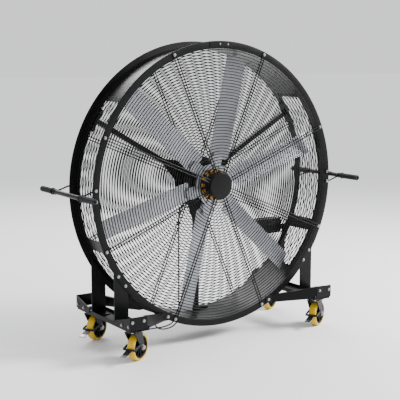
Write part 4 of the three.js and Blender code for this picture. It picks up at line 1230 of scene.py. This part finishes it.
RIM_FACE = 0.1365
post_bolts, plate_bolts, gusset_bolts = [], [], []
for x in (-1, 1):
    for y in (-1, 1):
        post_bolts += [
            (Vector((x * a, y * (RIM_FACE + 0.0001), z)), (0, y, 0))
            for a, z in ((0.654, 0.447), (0.612, 0.391))
        ]
        plate_bolts += [
            (Vector((x * a, y * 0.3063, z)), (0, y, 0)) for a, z in ((0.669, 0.236), (0.599, 0.237))
        ]
        plate_bolts += [(Vector((x * 0.349, y * 0.1408, 0.184)), (0, y, 0))]
        gusset_bolts += [
            (Vector((x * 0.6843, y * a, z)), (x, 0, 0)) for a, z in ((0.217, 0.206), (0.290, 0.212))
        ]
heads("post_bolts", post_bolts, "frame", zinc, "zinc_plate", **M8)
heads("arm_bolts", plate_bolts, "frame", zinc, "zinc_plate", **M8)
heads("gusset_bolts", gusset_bolts, "frame", zinc, "zinc_plate", **M8)
splice_bolts = [
    (Vector((x, sign * (RIM_FACE + SPLICE_T), AXIS_Z + sqrt(BOLT_R**2 - x * x))), (0, sign, 0))
    for sign in (-1, 1) for x in (-0.004, 0.049)
]
heads("splice_bolts", splice_bolts, "frame", zinc, "zinc_plate", **M6)

# %% [markdown]
# ## Castors
# All four castors trail the same way, as they do after the fan has been rolled to its place. Their pieces
# are drawn once about the swivel axis, with the wheel trailing along +X, and each corner turns and moves
# a copy. The tyre is a thick polyurethane band with rounded shoulders and a mould seam round its tread, on
# a ribbed black core. A plated toe cap wraps the end of each brake pedal's tongue.

# %% Castors
WHEEL_R, TRAIL, CASTOR_TURN = 0.075, 0.040, radians(27)
SPOT_X, SPOT_Y = 0.622, 0.232
CORNERS = {
    "front_right": (SPOT_X, -SPOT_Y), "front_left": (-SPOT_X, -SPOT_Y), "rear_right": (SPOT_X, SPOT_Y),
    "rear_left": (-SPOT_X, SPOT_Y)
}
tyre = rounded(
    [
        (0.0626, -0.0225), (0.0690, -0.0225), (0.0748, -0.0165), (0.0750, 0.0), (0.0748, 0.0165),
        (0.0690, 0.0225), (0.0626, 0.0225)
    ],
    [0.0008, 0.005, 0.006, 0.004, 0.006, 0.005, 0.0008], 4
)
seam = rounded(
    [(0.0735, -0.0019), (WHEEL_R - 0.00002, -0.0015), (WHEEL_R - 0.00002, 0.0015), (0.0735, 0.0019)], 0.0003, 2
)
core = [
    (0.0092, -0.025), (0.0200, -0.025), (0.0215, -0.0225), (0.0225, -0.006), (0.0520, -0.005),
    (0.0545, -0.0190), (0.0622, -0.0205), (0.0622, 0.0205), (0.0545, 0.0190), (0.0520, 0.005), (0.0225, 0.006),
    (0.0215, 0.0225), (0.0200, 0.025), (0.0092, 0.025)
]
rib = joined(prism([(0.020, -0.0022), (0.0545, -0.0016), (0.0545, 0.0016), (0.020, 0.0022)], -0.0165, -0.004),
             prism([(0.020, -0.0022), (0.0545, -0.0016), (0.0545, 0.0016), (0.020, 0.0022)], 0.004, 0.0165))
TOE_CAP = [(-0.0830, 0.0544), (-0.0830, 0.0598), (-0.1046, 0.0514), (-0.1046, 0.0460)]
at_axle = Matrix.Translation((TRAIL, 0, WHEEL_R))
for corner, (x, y) in CORNERS.items():
    here = Matrix.Translation((x, y, 0)) @ Matrix.Rotation(CASTOR_TURN, 4, "Z")
    swivel, wheel = f"swivel_{corner}", f"wheel_{corner}"
    axle = here @ at_axle
    built(
        f"tyre_{corner}", turned(tyre, 96, axle), wheel, tyre_yellow, [f"castor_tyre_{corner}"],
        smooth=50
    )
    built(f"tread_seam_{corner}", turned(seam, 96, axle), wheel, tyre_seam, smooth=50)
    built(
        f"core_{corner}", turned(rounded(core, 0.0012, 2), 64, axle), wheel, core_plastic,
        [f"castor_core_{corner}"], smooth=40
    )
    ribs = plain_mesh(f"core_ribs_{corner}", rib)
    made = grow(
        f"core_ribs_{corner}", ribs, AROUND,
        **{"Count": 10, "First turn": 0.2, "Height": 0.0, "Finish": core_plastic}
    )
    made.data.transform(axle)
    settle(softened(made, 0.0, 30), wheel, None)
    eased(f"castor_fork_{corner}", f"fork_{corner}", 0.0009, fork_paint, swivel)
    eased(f"castor_plate_{corner}", f"top_plate_{corner}", 0.0009, zinc, "frame")
    eased(f"brake_pedal_{corner}", f"pedal_{corner}", 0.0009, fork_paint, f"brake_{corner}")
    built(
        f"pedal_toe_{corner}", prism(TOE_CAP, -0.0176, 0.0176, here), f"brake_{corner}", zinc,
        bevel=0.001
    )
    nuts = [(axle @ Vector((0, s * 0.0335, 0)), here.to_3x3() @ Vector((0, s, 0))) for s in (-1, 1)]
    heads(
        f"axle_nuts_{corner}", nuts, swivel, zinc, "zinc_plate", radius=0.0136, height=0.0094, washer=0.0160,
        thick=0.0016, crown=0.86
    )
    under = [(Vector((x + a, y + b, 0.1757)), (0, 0, -1)) for a in (-0.030, 0.030) for b in (-0.040, 0.040)]
    heads(
        f"plate_nuts_{corner}", under, "frame", zinc, "zinc_plate", radius=0.0075, height=0.0062, washer=0.0100
    )
    over = [(Vector((x + a, y + b, 0.1860)), (0, 0, 1)) for a in (-0.030, 0.030) for b in (-0.040, 0.040)]
    heads(
        f"plate_bolts_{corner}", over, "frame", zinc, "zinc_plate", radius=0.0075, height=0.0055, washer=0.0105
    )

# %% [markdown]
# ## Handles
# A round bar stands off each side of the drum on two V brackets of bent rod. The bar and rods are swept
# tubes. Each grip is turned from one profile: a collar, a row of shallow ribs, and an end with a hole.

# %% Handles and grips
HANDLE_X, BAR_R = 0.878, 0.0125
EYE_Z = 0.029
eye_x = sqrt(BOLT_R**2 - EYE_Z**2)
for side, s in (("right", 1), ("left", -1)):
    parts = [tube([(s * HANDLE_X, y, AXIS_Z) for y in np.linspace(-0.3010, 0.3010, 7)], BAR_R, 28)]
    bolts_here = []
    for end in (-1, 1):
        y = end * (FACE + 0.0055)
        for z in (-EYE_Z, EYE_Z):
            low, high = sorted((end * FACE, end * (FACE + 0.005)))
            outline = [
                (s * eye_x + 0.0125 * cos(a), AXIS_Z + z + 0.0125 * sin(a))
                for a in np.linspace(0, 2 * pi, 28, endpoint=False)
            ]
            parts.append(prism(outline, low, high))
            start = Vector((s * (eye_x + 0.0105), y, AXIS_Z + z * 0.93))
            finish = Vector((s * (HANDLE_X - 0.002), y, AXIS_Z + z * 0.10))
            bend = start.lerp(finish, 0.14) + Vector((0, 0, z * 0.05))
            parts.append(
                tube([start, start.lerp(bend, 0.6), bend, start.lerp(finish, 0.5), finish], 0.0046, 12)
            )
            bolts_here.append((Vector((s * eye_x, end * (FACE + 0.005), AXIS_Z + z)), (0, end, 0)))
        collar = rounded(
            [
                (BAR_R - 0.0005, -0.008), (BAR_R + 0.003, -0.005), (BAR_R + 0.003, 0.005),
                (BAR_R - 0.0005, 0.008)
            ],
            0.0015, 3
        )
        parts.append(turned(collar, 32, Matrix.Translation((s * HANDLE_X, y, AXIS_Z))))
    built(f"bar_{side}", joined(*parts), "frame", frame_paint, [f"handle_{side}"], smooth=45)
    heads(f"bracket_bolts_{side}", bolts_here, "frame", zinc, "zinc_plate", **M8_RIM)

GRIP_R = 0.0158
rib_count = 21
grip_side = [(BAR_R + 0.0002, 0.1672), (0.0186, 0.1672), (0.0190, 0.1685), (0.0190, 0.1720), (0.0166, 0.1755)]
for k in range(rib_count):
    a = 0.1790 + 0.0054 * k
    grip_side += [
        (GRIP_R - 0.0010, a), (GRIP_R, a + 0.0010), (GRIP_R, a + 0.0036), (GRIP_R - 0.0010, a + 0.0046)
    ]
grip_side += [
    (GRIP_R, 0.2960), (GRIP_R, 0.3030), (0.0125, 0.3068), (0.0068, 0.3068), (0.0062, 0.3060), (0.0062, 0.3022),
    (BAR_R + 0.0002, 0.3022)
]
for side, s in (("right", 1), ("left", -1)):
    for end, way_out in (("front", -1), ("rear", 1)):
        shape = turned(
            [(r, way_out * y) for r, y in grip_side], 48, Matrix.Translation((s * HANDLE_X, 0, AXIS_Z))
        )
        built(
            f"rubber_grip_{end}_{side}", shape, "frame", grip_rubber, [f"grip_{end}_{side}"],
            smooth=35
        )

# %% [markdown]
# ## Cord gland, hook, tie and plug
# The strain relief tapers and is cut by slots, so that it bends before the cord does. The plug is a soft
# moulded body with two pins. A strap ties the coil.

# %% What is on the cord
GLAND_DEGREES, GLAND_Y = 225, 0.062
gland_turn = ON_AXIS @ Matrix.Rotation(-radians(GLAND_DEGREES), 4, "Y")
gland_turn = gland_turn @ Matrix.Translation((0, GLAND_Y, 0)) @ Matrix.Rotation(-pi / 2, 4, "Z")
relief = [(0.0046, 0.1043), (0.0100, 0.1043), (0.0100, 0.1125), (0.0088, 0.1135)]
for k in range(6):
    a, r = 0.1165 + 0.0042 * k, 0.0086 - 0.0005 * k
    relief += [(r, a), (r, a + 0.0022), (r - 0.0014, a + 0.0026), (r - 0.0014, a + 0.0038)]
relief += [(0.0054, 0.1440), (0.0046, 0.1443)]
built(
    "strain_relief", turned(relief, 28, gland_turn), "frame", cable_rubber, ["cord_gland"],
    smooth=35
)
eased("cord_hook", "hook_strap", 0.0007, frame_paint, "frame")

plug_y = (COIL_AT[1] - COIL_OUTER) * MM


def on_plug(shift=0.0):
    """The quarter turn that lays a turned piece's axis along X at the plug, a shift to one side."""
    return Matrix.Translation((0, plug_y + shift, PLUG_Z * MM)) @ Matrix.Rotation(-pi / 2, 4, "Z")


plug_side = [(0.0042, 0.0905), (0.0058, 0.0905)]
for k in range(5):
    a, r = 0.0868 - 0.0050 * k, 0.0061 + 0.0004 * k
    plug_side += [(r, a), (r, a - 0.0026), (r - 0.0012, a - 0.0030), (r - 0.0012, a - 0.0044)]
plug_side += [
    (0.0082, 0.0610), (0.0125, 0.0595), (0.0165, 0.0480), (0.0168, 0.0400), (0.0150, 0.0330), (0.0152, 0.0260),
    (0.0168, 0.0215), (0.0166, 0.0187), (0, 0.0187), (0, 0.0800), (0.0042, 0.0805)
]
plug_body = turned(plug_side, 40, on_plug())
moulded_plug = built("moulded_plug", plug_body, "frame", plug_rubber, ["cord_plug"], smooth=35)
PIN_APART = 0.019
pin_side = rounded([(0, 0.0190), (0.0024, 0.0190), (0.0024, 0.0002), (0, 0.0002)], [0, 0.0002, 0.0010, 0], 3)
pins = joined(*[turned(pin_side, 20, on_plug(s)) for s in (-PIN_APART / 2, PIN_APART / 2)])
plug_pins = built("plug_pins", pins, "frame", brass, smooth=35)

tie_outline = rounded([(0.0290, 0.0003), (0.0670, 0.0003), (0.0670, 0.0192), (0.0290, 0.0192)], 0.005, 4)
tie_inner = rounded([(0.0300, 0.0012), (0.0660, 0.0012), (0.0660, 0.0182), (0.0300, 0.0182)], 0.0044, 4)
tie_turn = Matrix.Translation((COIL_AT[0] * MM, COIL_AT[1] * MM, 0)) @ Matrix.Rotation(radians(150), 4, "Z")
n = len(tie_outline)
band_points = [
    tie_turn @ Vector((r, y, z)) for outline in (tie_outline, tie_inner) for y in (-0.006, 0.006)
    for r, z in outline
]
band_faces = []
for k in range(n):
    j = (k + 1) % n
    band_faces += [
        (k, j, n + j, n + k), (2 * n + k, 3 * n + k, 3 * n + j, 2 * n + j), (k, 2 * n + k, 2 * n + j, j),
        (n + k, n + j, 3 * n + j, 3 * n + k)
    ]
coil_tie = built("coil_tie", (band_points, band_faces), "frame", grip_rubber, smooth=50)

mains_cord.data.materials.append(cable_rubber)
settle(mains_cord, "frame", cable_rubber, ["cord", "cord_coil"])

# %% [markdown]
# ## Floor and light
# A plain pale floor fades into an even backdrop. One large soft light stands above and to the right, a
# weak one to the left, another behind, and the sky's own glow lights everything else.

# %% Floor
floor = hosted(
    "floor", plain_mesh("floor", ([(-60, -60, 0), (60, -60, 0), (60, 60, 0), (-60, 60, 0)], [(0, 1, 2, 3)]))
)
SKY = (0.93, 0.94, 0.955)
SKY_STRENGTH = 1.15
floor_finish = bpy.data.materials.new("pale floor")
floor_finish.use_nodes = True
floor_tree = floor_finish.node_tree
shader = floor_tree.nodes["Principled BSDF"]
shader.inputs["Roughness"].default_value = 0.75
shader.inputs["Specular IOR Level"].default_value = 0.15
spot = step(floor_tree, "ShaderNodeTexCoord").outputs["Object"]
far = ramp(
    floor_tree, step(floor_tree, "ShaderNodeVectorMath", {0: spot}, operation="LENGTH").outputs["Value"], 2.5,
    9.0
)
floor_tree.links.new(
    blend_colour(floor_tree, far, (0.86, 0.86, 0.86), (0.0, 0.0, 0.0)), shader.inputs["Base Color"]
)
floor_tree.links.new(blend_colour(floor_tree, far, (0.0, 0.0, 0.0), SKY), shader.inputs["Emission Color"])
shader.inputs["Emission Strength"].default_value = SKY_STRENGTH
floor.data.materials.append(floor_finish)

# %% Light
world = bpy.data.worlds.new("studio")
world.use_nodes = True
world.node_tree.nodes["Background"].inputs["Color"].default_value = (*SKY, 1)
world.node_tree.nodes["Background"].inputs["Strength"].default_value = SKY_STRENGTH
scene.world = world
AIM = Vector((0, 0, 0.8))


def soft_light(name, stand, size, power):
    lamp = bpy.data.objects.new(name, bpy.data.lights.new(name, "AREA"))
    lamp.data.shape, lamp.data.size, lamp.data.energy = "DISK", size, power
    lamp.location = stand
    lamp.rotation_mode = "QUATERNION"
    lamp.rotation_quaternion = (AIM - Vector(stand)).to_track_quat("-Z", "Y")
    scene.collection.objects.link(lamp)


soft_light("key", (4.6, -3.0, 4.0), 2.4, 950)
soft_light("fill", (-4.5, -4.5, 3.5), 2.5, 50)
soft_light("back", (1.0, 5.0, 5.0), 4.0, 300)
